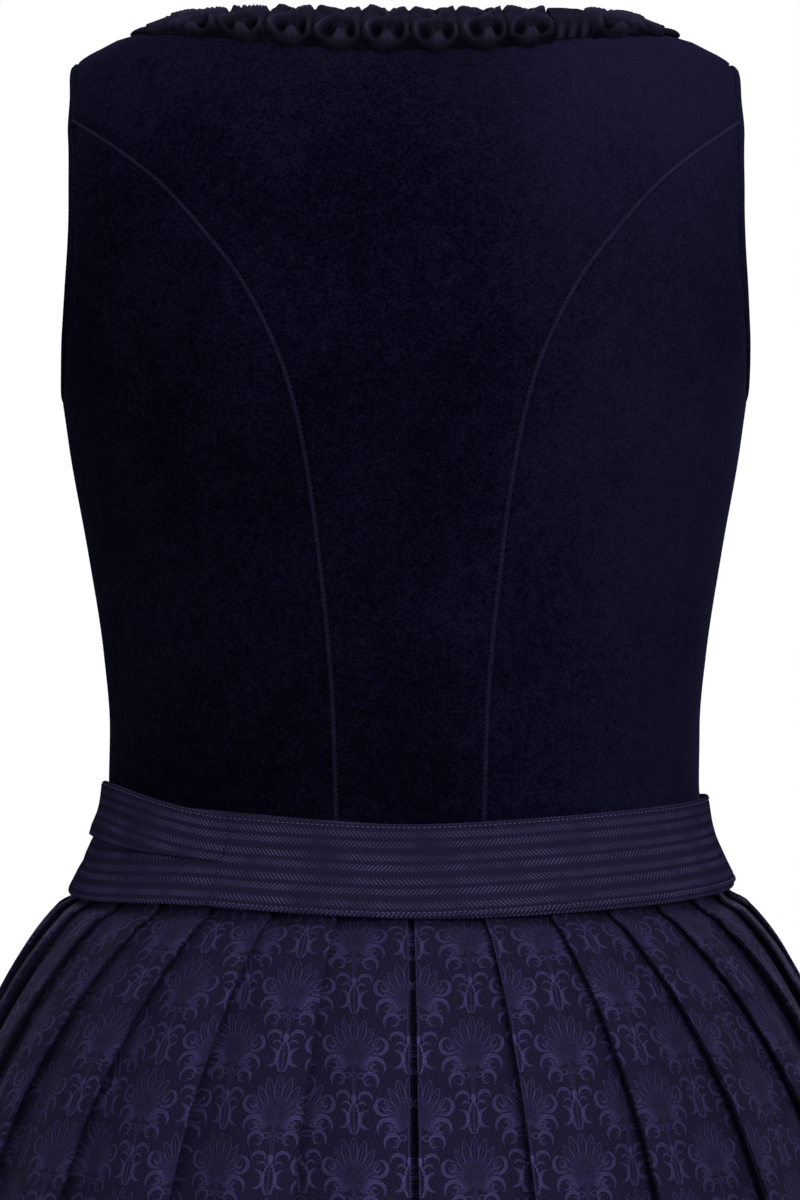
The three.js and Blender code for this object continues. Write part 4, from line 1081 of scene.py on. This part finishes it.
def skirtPanel(name, first, last, sign):
    heights = np.concatenate([spread(*rows) for rows in skirtRows])
    section = skirtAt(heights)
    column = [value[:, None] for value in section]
    step, tuck = column[3], column[4]
    pitch = (180 - pleatPlan["slit"]) / pleatPlan["perSide"]
    edges = [pleatTurn(column, pleatPlan["slit"] + i * pitch) for i in range(last + 1)]
    down = (heights[0] - heights)[:, None]
    none = 0 * step
    parts, maps = [], []
    if first == 0:
        for k, (turn, outShare, inward, inShare) in enumerate(slitPath):
            parts.append(onSkirt(column, none + turn, step * outShare, inward + tuck * inShare))
            maps.append(none + 3.5 * k - 3)
    for i in range(first, last):
        a, b = edges[i], edges[i + 1]
        front = pleatFront(column, a, b, down, np.random.default_rng(100 + i * 7 + (sign < 0) * 50))
        # the folded edge is a small roll
        parts += [onSkirt(column, a, step - 0.55, 0.35 + none), front]
        # the figure starts at another place on each pleat
        start = 12.0 + ((i * 37.0 + 11.0 * (sign < 0)) % 48 if i else 0.0)
        spans = np.linalg.norm(np.diff(front, axis=1), axis=-1)
        along = start + np.concatenate([none, np.cumsum(spans, axis=1)], axis=1)
        maps += [none - 0.7 + start, along]
        tucked = len(tuckPath) if i < last - 1 else (2 if last < pleatPlan["perSide"] else 0)
        for outShare, inShare, past in tuckPath[:tucked]:
            parts.append(onSkirt(column, b, outShare * step, inShare * tuck))
            maps.append(along[:, -1:] + past)
    line, u = np.concatenate(parts, axis=1), np.concatenate(maps, axis=1)
    z = np.broadcast_to(heights[:, None, None], (*u.shape, 1))
    grid = np.concatenate([line, z], axis=-1)
    # length down the cloth, so the figure keeps its size on the flare
    middle = onSkirt(section, np.full(heights.shape, 20.0), section[3] * 0.5)
    v = lengthAlong(np.concatenate([middle, heights[:, None]], axis=-1))[:, None] + 0 * u
    if sign < 0:
        grid = grid[:, ::-1] * np.array([-1, 1, 1])
        u = u[:, ::-1]
    normals = unit(gridNormals(grid) * np.array([1, 1, 0.6]))
    uv = np.stack([u * mm, v * mm], axis=-1)
    piece = clothShell(name, grid + normals * 0.55, pleatPlan["thickness"], uv, normals=normals)
    finishPiece(piece, damask, "skirt_jacquard", name)


split = pleatPlan["beforeSideSeam"]
for sideName, sign in (("left", 1), ("right", -1)):
    skirtPanel(f"skirt_back_{sideName}", 0, split, sign)
    skirtPanel(f"skirt_front_{sideName}", split, pleatPlan["perSide"], sign)
print("skirt made")

# apron

apronPlan = {
    "top": -405.3, "hem": -990, "topHalf": 64, "hemHalf": 52, "gathers": 14, "folds": 7, "thickness": 1.0,
    "columns": 420, "clear": 1.4,
}


def apronPanel():
    look = apronPlan
    heights = np.concatenate([spread(look["top"], -470, 3), spread(-476, look["hem"], 9)])
    section = [value[:, None] for value in skirtAt(heights)]
    clear, gather, fold = [value[:, None] for value in apronAt(heights)]
    share = np.linspace(0, 1, look["columns"] + 1)[None]
    below = look["top"] - heights[:, None]
    drop = below / (look["top"] - look["hem"])
    half = look["topHalf"] + (look["hemHalf"] - look["topHalf"]) * np.sqrt(drop)

    def waves(count, at, slide=0.0):
        return 0.5 - 0.5 * np.cos(2 * math.pi * count * at + slide)

    warp = share + 0.006 * np.sin(share * 31) + 0.004 * np.sin(share * 77 + 1)
    small = waves(3 * look["gathers"], share, 3 * np.sin(share * 23))
    fade = np.exp(-np.maximum(below - 6, 0) / 26) * np.clip(below / 8, 0.1, 1)
    lift = clear + look["clear"] + gather * waves(look["gathers"], warp) ** 1.3
    lift = lift + fold * waves(look["folds"], warp) + small * 0.9 * fade - 0.4 * fade
    line = onSkirt(section, 180 - half + 2 * half * share, lift)
    z = np.broadcast_to(heights[:, None, None], line.shape[:2] + (1,))
    grid = np.concatenate([line, z], axis=-1)
    _, v = flatLengths(grid)
    v = np.broadcast_to(v[:, :1], v.shape)
    uv = np.stack([v * mm, np.broadcast_to(share * 0.9, v.shape)], axis=-1)  # the rows of ears run down
    piece = clothShell("apron_panel", grid, look["thickness"], uv)
    finishPiece(piece, apronStripe, "apron_stripe", "apron_panel")


apronPanel()

# band and ties

bandPlan = {
    "top": -361.5, "bottom": -404.5, "join": 44, "joinGap": 0.12, "knot": 150, "tilt": 2, "underEnd": 103,
    "underDepth": 1.75, "thickness": 1.2, "columnStep": 0.9, "rumple": 0.28, "edgeDip": 0.35,
}
fan = {"top": 8, "bottom": 5, "over": 38, "from": 82, "to": 108}
hang = {"back": -1.2, "hip": 3.2, "narrower": 3.7, "from": 86, "to": 108}


def fading(angle):
    return 1 - smoothStep(np.abs(angle), hang["from"], hang["to"])


def hung(angle):
    # the band hangs lower at the centre back and rides up over the hips
    across = (np.hypot(np.sin(angle * deg), 0.3) - 0.3) / 0.744
    behind = np.where(np.cos(angle * deg) > 0, 1 - across, 0)
    return (hang["back"] * behind + hang["hip"] * across) * fading(angle)


def bandTop(angle):
    return bandPlan["top"] + hung(angle)


def bandBottom(angle):
    return bandPlan["bottom"] + hung(angle) + hang["narrower"] * fading(angle)


def waistStrip(name, surface, start, stop, top, bottom, thickness, crease=None, lapped=False):
    look = bandPlan
    angle = np.linspace(start, stop, int((stop - start) / look["columnStep"]) + 1)[None]
    if lapped:
        share, layer = lappedRows(angle)
    else:
        share = np.concatenate([[0, 0.012, 0.03], np.linspace(0.05, 0.95, 30), [0.97, 0.988, 1]])[:, None]
    height = top(angle) + (bottom(angle) - top(angle)) * share
    angle, share = angle + 0 * share, share + 0 * angle
    grid = surface(angle, height)
    normals = facing(surface, angle, height)
    u, _ = flatLengths(grid)
    v = (height[:1] - height) * 1.09
    arc = np.broadcast_to(u[len(u) // 2], u.shape)
    lift = -look["edgeDip"] * (hump(share, 0.012) + hump(1 - share, 0.012))
    uneven = soften(angle / 5, share * 2.2, 40 + len(name))
    lift = lift + look["rumple"] * uneven * np.sin(share * math.pi)
    if crease:
        lift = lift + crease(angle, share)
    if lapped:  # below the tuck the ears follow the lower edge
        lift = lift + tieCrease(angle, share, layer)
        low = (layer < 0.5) & (angle < 140)
        arc, v = np.where(low, -arc, arc), np.where(low, 42.8 - (v[-1:] - v), v)
    grid = grid + normals * lift[..., None]
    piece = clothShell(name, grid, thickness, np.stack([arc * mm, v * mm], axis=-1), normals=normals)
    finishPiece(piece, bandStripe, "apron_stripe", name)


# place down the band, slope, angle, reach, depth, breadth
bandDrags = [
    (0.32, 0.004, 26, 13, 0.7, 0.05), (0.58, -0.003, 12, 16, 0.45, 0.05), (0.45, 0.002, -20, 22, 0.4, 0.06),
    (0.7, -0.002, -48, 18, 0.4, 0.05), (0.25, -0.003, -64, 16, 0.45, 0.05),
]


def bandCrease(angle, share):
    # a little slack: shallow drags that start at the join, and sewn edges drawn in
    lift = -0.3 * (hump(share - 0.045, 0.018) + hump(share - 0.955, 0.018))
    for at, slope, middle, wide, deep, thick in bandDrags:
        lift = lift - deep * hump(share - at - slope * (angle - middle), thick) * hump(angle - middle, wide)
    return lift


join, knot = bandPlan["join"], bandPlan["knot"]
waistStrip("apron_band", bandSurface, knot - 360 + bandPlan["joinGap"], join - bandPlan["joinGap"],
           bandTop, bandBottom, bandPlan["thickness"], crease=bandCrease)


def fanned(angle):
    # the tie widens past the join, and narrows again towards the knot
    return smoothStep(angle, join, join + fan["over"]) * (1 - smoothStep(angle, fan["from"], fan["to"]))


def tieTop(angle):
    return bandTop(angle) + fan["top"] * fanned(angle)


def tieBottom(angle):
    return bandBottom(angle) - fan["bottom"] * fanned(angle)


def tuckLine(angle):
    return 0.50 - 0.0006 * (angle - join) + 0.008 * np.sin((angle - join) * 0.13)


def lappedRows(angle):
    # the upper cloth folds under itself at the tuck, and the lower cloth comes out from below it
    line = tuckLine(angle)
    tip = line + 0.032 * (1 - smoothStep(angle, 118, 140)) * ramp(angle, join - 20, join + 20)
    even = np.linspace(0, 1, 28)[:, None]
    upper, lower = 0.05 + (tip - 0.055) * even, line - 0.02 + (0.97 - line) * even
    first, final = [np.array(rows)[:, None] + 0 * angle for rows in ([0, 0.012, 0.03], [0.97, 0.988, 1])]
    parts = [first, upper, tip, tip - 0.005, line - 0.028, lower, final]
    levels = [np.ones(31), [0.7, 0.25, 0], np.zeros(31)]
    return np.concatenate(parts), np.concatenate(levels)[:, None] + 0 * angle


def tieCrease(angle, share, layer):
    # the tuck is deepest towards the side
    away = share - tuckLine(angle)
    strong = np.clip(0.42 + (angle - join) / 32, 0, 1) * (1 - smoothStep(angle, 118, 140))
    lap = 2.0 * layer * hump(np.minimum(away + 0.03, 0), 0.14)
    under = 0.55 * (1 - layer) * hump(away, 0.06)
    drag = 0.35 * hump(share - 0.78 + 0.0018 * (angle - 60), 0.045) * ramp(angle, 50, 80)
    return strong * (lap - under) - drag * (angle < 120)


def underTop(angle):
    return bandTop(angle) + bandPlan["tilt"] * np.sin(angle * deg) * np.cos(angle * deg * 0.5)


def underBottom(angle):
    return bandBottom(angle) + underTop(angle) - bandTop(angle)


def underSurface(angle, height):
    return lifted(bandSurface, angle, height, -bandPlan["underDepth"])


waistStrip("apron_tie_left", bandSurface, join + bandPlan["joinGap"], knot - bandPlan["joinGap"],
           tieTop, tieBottom, bandPlan["thickness"], lapped=True)
waistStrip("apron_tie_under", underSurface, -bandPlan["underEnd"], bandPlan["underEnd"],
           underTop, underBottom, 1.0)


def edgeStitches(name, angles, levels, lift, kind):
    path = lifted(bandSurface, angles, levels, lift)
    stitchPaths.append((name, path, facing(bandSurface, angles, levels), kind))


for name, start, stop, edge, inside in (
    ("band_top_stitches", -150, join - 0.6, bandTop, -1.3),
    ("band_bottom_stitches", -150, join - 0.6, bandBottom, 1.5),
    ("tie_top_stitches", join + 0.8, 100, tieTop, -1.3),
):
    angles = np.linspace(start, stop, 260)
    edgeStitches(name, angles, edge(angles) + inside, 0.02, "band")
joinLevels = np.linspace(bandPlan["top"] - 1, bandPlan["bottom"] + 5, 40) + hung(join)
edgeStitches("band_join_stitches", np.full(joinLevels.shape, join - 0.75), joinLevels, 0.05, "join")
print("band made")

# bow

bowPlan = {
    "loopWidth": 44, "throat": 20, "tailWidth": 44, "stand": 3.5, "floor": 1.2, "halfHeight": 25,
}
seatHeight = (bandPlan["top"] + bandPlan["bottom"]) / 2
seat = bandSurface(knot, seatHeight)
knotUp = unit(bandSurface(knot, bandPlan["top"]) - bandSurface(knot, bandPlan["bottom"]))
knotAlong = unit(np.cross(facing(bandSurface, knot, seatHeight), knotUp))
knotOut = np.cross(knotUp, knotAlong)


def onBow(along, out, up):
    along, out, up = np.broadcast_arrays(along, out, up)
    return seat + along[..., None] * knotAlong + out[..., None] * knotOut + up[..., None] * knotUp


# height, half width and depth of the knot
knotRings = np.array([
    (25, 9, 4), (23.6, 12, 6), (21, 14, 8), (14, 15, 10), (8, 15.5, 11), (0, 15.3, 11.2), (-8, 15, 11),
    (-15, 14.8, 10), (-21, 14.5, 8.5), (-23.8, 12.4, 6.4), (-25, 10, 4.5),
])


def bowKnot():
    ups = np.linspace(bowPlan["halfHeight"], -bowPlan["halfHeight"], 34)[:, None]
    half, deep = [np.interp(-ups, -knotRings[:, 0], knotRings[:, k]) for k in (1, 2)]
    turn = np.linspace(0, math.pi, 41)[None]
    folds = 0.5 * np.cos(turn * 6 + ups * 0.05) * np.sin(turn)
    out = bowPlan["stand"] + (deep + folds) * np.sin(turn) ** 0.7
    grid = onBow(-half * np.cos(turn), out, ups)
    floor = onBow(-half * np.cos(turn), bowPlan["stand"] - bowPlan["floor"], ups)
    u, v = flatLengths(grid)
    piece = shellBetween("bow_knot", grid, floor, np.stack([v, u], axis=-1) * mm)
    finishPiece(piece, bandStripe, "apron_stripe", "bow_knot")


bowKnot()
# the loop's middle line: along, out, how far it is opened, how far it sags
loopPath = np.array([
    (15.9, 5.6, 0, 0), (24.6, 5.2, 0.4, 1), (38.3, 8.5, 0.9, 4), (54.4, 16, 1, 9), (64.9, 25, 1, 13),
    (67.4, 32, 1, 14), (63.1, 36.5, 1, 13), (51.9, 35, 1, 9), (37, 27.5, 0.9, 4), (25.3, 17.5, 0.4, 1),
    (15.9, 10.2, 0, 0),
])


def smoothRows(rows, count):
    length = lengthAlong(rows[:, :2])
    fine = np.linspace(0, length[-1], count)
    return np.stack(readTable(np.column_stack([-length, rows]))(-fine), axis=-1), fine


def bowLoop(name, sign, seed):
    rows, fine = smoothRows(loopPath, 90)
    way = unit(np.gradient(rows[:, :2], axis=0))
    along, out, opened, sag = rows.T[:, None]
    share = np.linspace(0.5, -0.5, 31)[:, None]
    width = bowPlan["throat"] + (bowPlan["loopWidth"] - bowPlan["throat"]) * opened
    pinch = (1 - opened).clip(0, 1)
    crease = 1.1 * np.cos(share * 19 + seed) * pinch + 0.5 * np.cos(share * 11 + seed) * (1 - pinch)
    along = sign * (along - way[None, :, 1] * crease)
    grid = onBow(along, out + way[None, :, 0] * crease, share * width - sag)
    u = np.broadcast_to(fine[None], along.shape)
    v = np.broadcast_to((0.5 - share) * bowPlan["loopWidth"], along.shape)
    uv = np.stack([u * mm, v * mm], axis=-1)
    if sign < 0:
        grid, uv = grid[:, ::-1], uv[:, ::-1]
    normals = gridNormals(grid)
    piece = clothShell(name, grid + normals * 0.5, 1.0, uv, normals=normals)
    finishPiece(piece, bandStripe, "apron_stripe", name)


bowLoop("bow_loop_front", 1, 1)
bowLoop("bow_loop_side", -1, 2)


def bowTail(name, start, lean, length, stand, seed):
    down = np.linspace(0, 1, 70)[:, None]
    across = np.linspace(-0.5, 0.5, 29)[None]
    slant = 12 * (0.5 - across) * smoothStep(down, 0.86, 1)
    height = bandPlan["bottom"] - 2.2 - length * down + slant
    width = bowPlan["throat"] + (bowPlan["tailWidth"] - bowPlan["throat"]) * np.minimum(1, down * 3.2)
    section = skirtAt(height)
    clear, gather, fold = apronAt(height)
    radius = np.hypot(section[0] * math.sin(knot * deg), section[2] * math.cos(knot * deg))
    along = start + lean * down + across * width
    ripple = 1.1 * np.cos(across * 2 * math.pi) * np.minimum(1, down * 2)
    ripple = ripple + 0.5 * np.cos(across * 19 + seed) * np.exp(-down * 9)
    lift = clear + apronPlan["clear"] + gather + fold + stand + ripple + 1.2
    line = onSkirt(section, knot + along / radius / deg, lift)
    grid = np.concatenate([line, height[..., None]], axis=-1)
    flat = np.broadcast_arrays(down * length, (across + 0.5) * bowPlan["tailWidth"])
    piece = clothShell(name, grid, 1.0, np.stack(flat, axis=-1) * mm)
    finishPiece(piece, bandStripe, "apron_stripe", name)


bowTail("bow_tail_front", 4, 26, 330, 3.9, 1)
bowTail("bow_tail_side", -9, -44, 304, 1.6, 2)
print("bow made")

# stitches, laid along their paths by Geometry Nodes

def stitchTree():
    tree = bpy.data.node_groups.new("sewn stitches", "GeometryNodeTree")
    sockets = [
        ("Geometry", "Geometry", "INPUT"), ("Pitch", "Float", "INPUT"), ("Length", "Float", "INPUT"),
        ("Width", "Float", "INPUT"), ("Thread", "Material", "INPUT"), ("Geometry", "Geometry", "OUTPUT"),
    ]
    for name, kind, way in sockets:
        tree.interface.new_socket(name, in_out=way, socket_type=f"NodeSocket{kind}")
    new = tree.nodes.new
    source, sink = new("NodeGroupInput"), new("NodeGroupOutput")
    curve = new("GeometryNodeMeshToCurve")
    resample = new("GeometryNodeResampleCurve")
    resample.mode = "LENGTH"
    bead = new("GeometryNodeMeshIcoSphere")
    setInputs(bead, Radius=0.5, Subdivisions=1)
    facingNode = new("GeometryNodeInputNamedAttribute")
    facingNode.data_type = "FLOAT_VECTOR"
    setInputs(facingNode, Name="facing")
    tangent = new("GeometryNodeInputTangent")
    upward, alongWay = [new("FunctionNodeAlignRotationToVector") for _ in range(2)]
    upward.axis, alongWay.axis, alongWay.pivot_axis = "Z", "X", "Z"
    scale = new("ShaderNodeCombineXYZ")
    place = new("GeometryNodeInstanceOnPoints")
    real = new("GeometryNodeRealizeInstances")
    paint = new("GeometryNodeSetMaterial")
    links = [
        (source, "Geometry", curve, "Mesh"), (curve, "Curve", resample, "Curve"),
        (source, "Pitch", resample, "Length"), (facingNode, "Attribute", upward, "Vector"),
        (upward, "Rotation", alongWay, "Rotation"), (tangent, "Tangent", alongWay, "Vector"),
        (source, "Length", scale, "X"), (source, "Width", scale, "Y"), (source, "Width", scale, "Z"),
        (resample, "Curve", place, "Points"), (bead, "Mesh", place, "Instance"),
        (alongWay, "Rotation", place, "Rotation"), (scale, "Vector", place, "Scale"),
        (place, "Instances", real, "Geometry"), (real, "Geometry", paint, "Geometry"),
        (source, "Thread", paint, "Material"), (paint, "Geometry", sink, "Geometry"),
    ]
    for start, output, end, entry in links:
        tree.links.new(start.outputs[output], end.inputs[entry])
    return tree


sewing = stitchTree()
sockets = {item.name: item.identifier for item in sewing.interface.items_tree if item.in_out == "INPUT"}


def sew(name, points, normals, kind):
    pitch, length, width, thread, slotName = stitchKinds[kind]
    path = bpy.data.meshes.new(name + "_path")
    steps = [(i, i + 1) for i in range(len(points) - 1)]
    path.from_pydata((np.asarray(points) * mm).tolist(), steps, [])
    attribute = path.attributes.new("facing", "FLOAT_VECTOR", "POINT")
    attribute.data.foreach_set("vector", np.asarray(normals, np.float32).ravel())
    carrier = bpy.data.objects.new(name + "_path", path)
    scene.collection.objects.link(carrier)
    modifier = carrier.modifiers.new("sewing", "NODES")
    modifier.node_group = sewing
    sizes = {"Pitch": pitch * mm, "Length": length * mm, "Width": width * mm, "Thread": thread}
    for label, value in sizes.items():
        modifier[sockets[label]] = value
    bpy.context.view_layer.update()
    depsgraph = bpy.context.evaluated_depsgraph_get()
    mesh = bpy.data.meshes.new_from_object(carrier.evaluated_get(depsgraph))
    mesh.name = name
    bpy.data.objects.remove(carrier)
    if "facing" in mesh.attributes:
        mesh.attributes.remove(mesh.attributes["facing"])
    piece = bpy.data.objects.new(name, mesh)
    scene.collection.objects.link(piece)
    finishPiece(piece, thread, slotName)


for entry in stitchPaths:
    sew(*entry)
print("stitches sewn:", len(stitchPaths), "rows")

# floor, light and camera

roomPlan = {
    "floor": (0.9, 0.9, 0.9), "floorHeight": -1.32, "floorSize": 3.2, "sky": (1, 1, 1, 1), "skyStrength": 1.0,
}
floorMesh = bpy.data.meshes.new("floor")
half, z = roomPlan["floorSize"] / 2, roomPlan["floorHeight"]
corners = [(-half, -half, z), (half, -half, z), (half, half, z), (-half, half, z)]
floorMesh.from_pydata(corners, [], [(0, 1, 2, 3)])
floor = bpy.data.objects.new("floor", floorMesh)
scene.collection.objects.link(floor)
floorPaint, _, _ = newMaterial("pale floor", roomPlan["floor"], 0.9)
floorMesh.materials.append(floorPaint)

world = bpy.data.worlds.new("studio")
world.use_nodes = True
setInputs(world.node_tree.nodes["Background"], Color=roomPlan["sky"], Strength=roomPlan["skyStrength"])
scene.world = world

# name, place, size, power, aimed at
lightPlan = [
    ("key", (-1.1, 2.6, 0.75), 1.3, 210, (0, 0, -0.3)), ("fill", (1.7, 2.3, 0.3), 1.6, 80, (0, 0, -0.35)),
    ("top", (-0.3, 0.8, 1.7), 1.2, 80, (0, 0, -0.05)),
]
for name, place, size, power, target in lightPlan:
    light = bpy.data.lights.new(name, "AREA")
    light.size, light.energy = size, power
    lamp = bpy.data.objects.new(name, light)
    scene.collection.objects.link(lamp)
    lamp.location = place
    lamp.rotation_euler = (Vector(target) - lamp.location).to_track_quat("-Z", "Y").to_euler()

cameraPlan = {
    "distance": 2.0, "turn": 1.4, "height": -0.18, "focal": 4234, "centre": (404.8, 417), "size": (800, 1200),
    "sensor": (24, 36), "farthest": 50,
}
lens = bpy.data.cameras.new("camera")
camera = bpy.data.objects.new("camera", lens)
scene.collection.objects.link(camera)
turn, distance = cameraPlan["turn"] * deg, cameraPlan["distance"]
camera.location = (distance * math.sin(turn), distance * math.cos(turn), cameraPlan["height"])
camera.rotation_euler = (math.pi / 2, 0, math.pi - turn)
wide, tall = cameraPlan["size"]
lens.sensor_fit = "VERTICAL"
lens.sensor_width, lens.sensor_height = cameraPlan["sensor"]
lens.lens = cameraPlan["focal"] / tall * lens.sensor_height
lens.shift_x = (wide / 2 - cameraPlan["centre"][0]) / tall
lens.shift_y = (cameraPlan["centre"][1] - tall / 2) / tall
lens.clip_end = cameraPlan["farthest"]
scene.camera = camera
scene.view_settings.view_transform = "Standard"
scene.view_settings.look = "None"
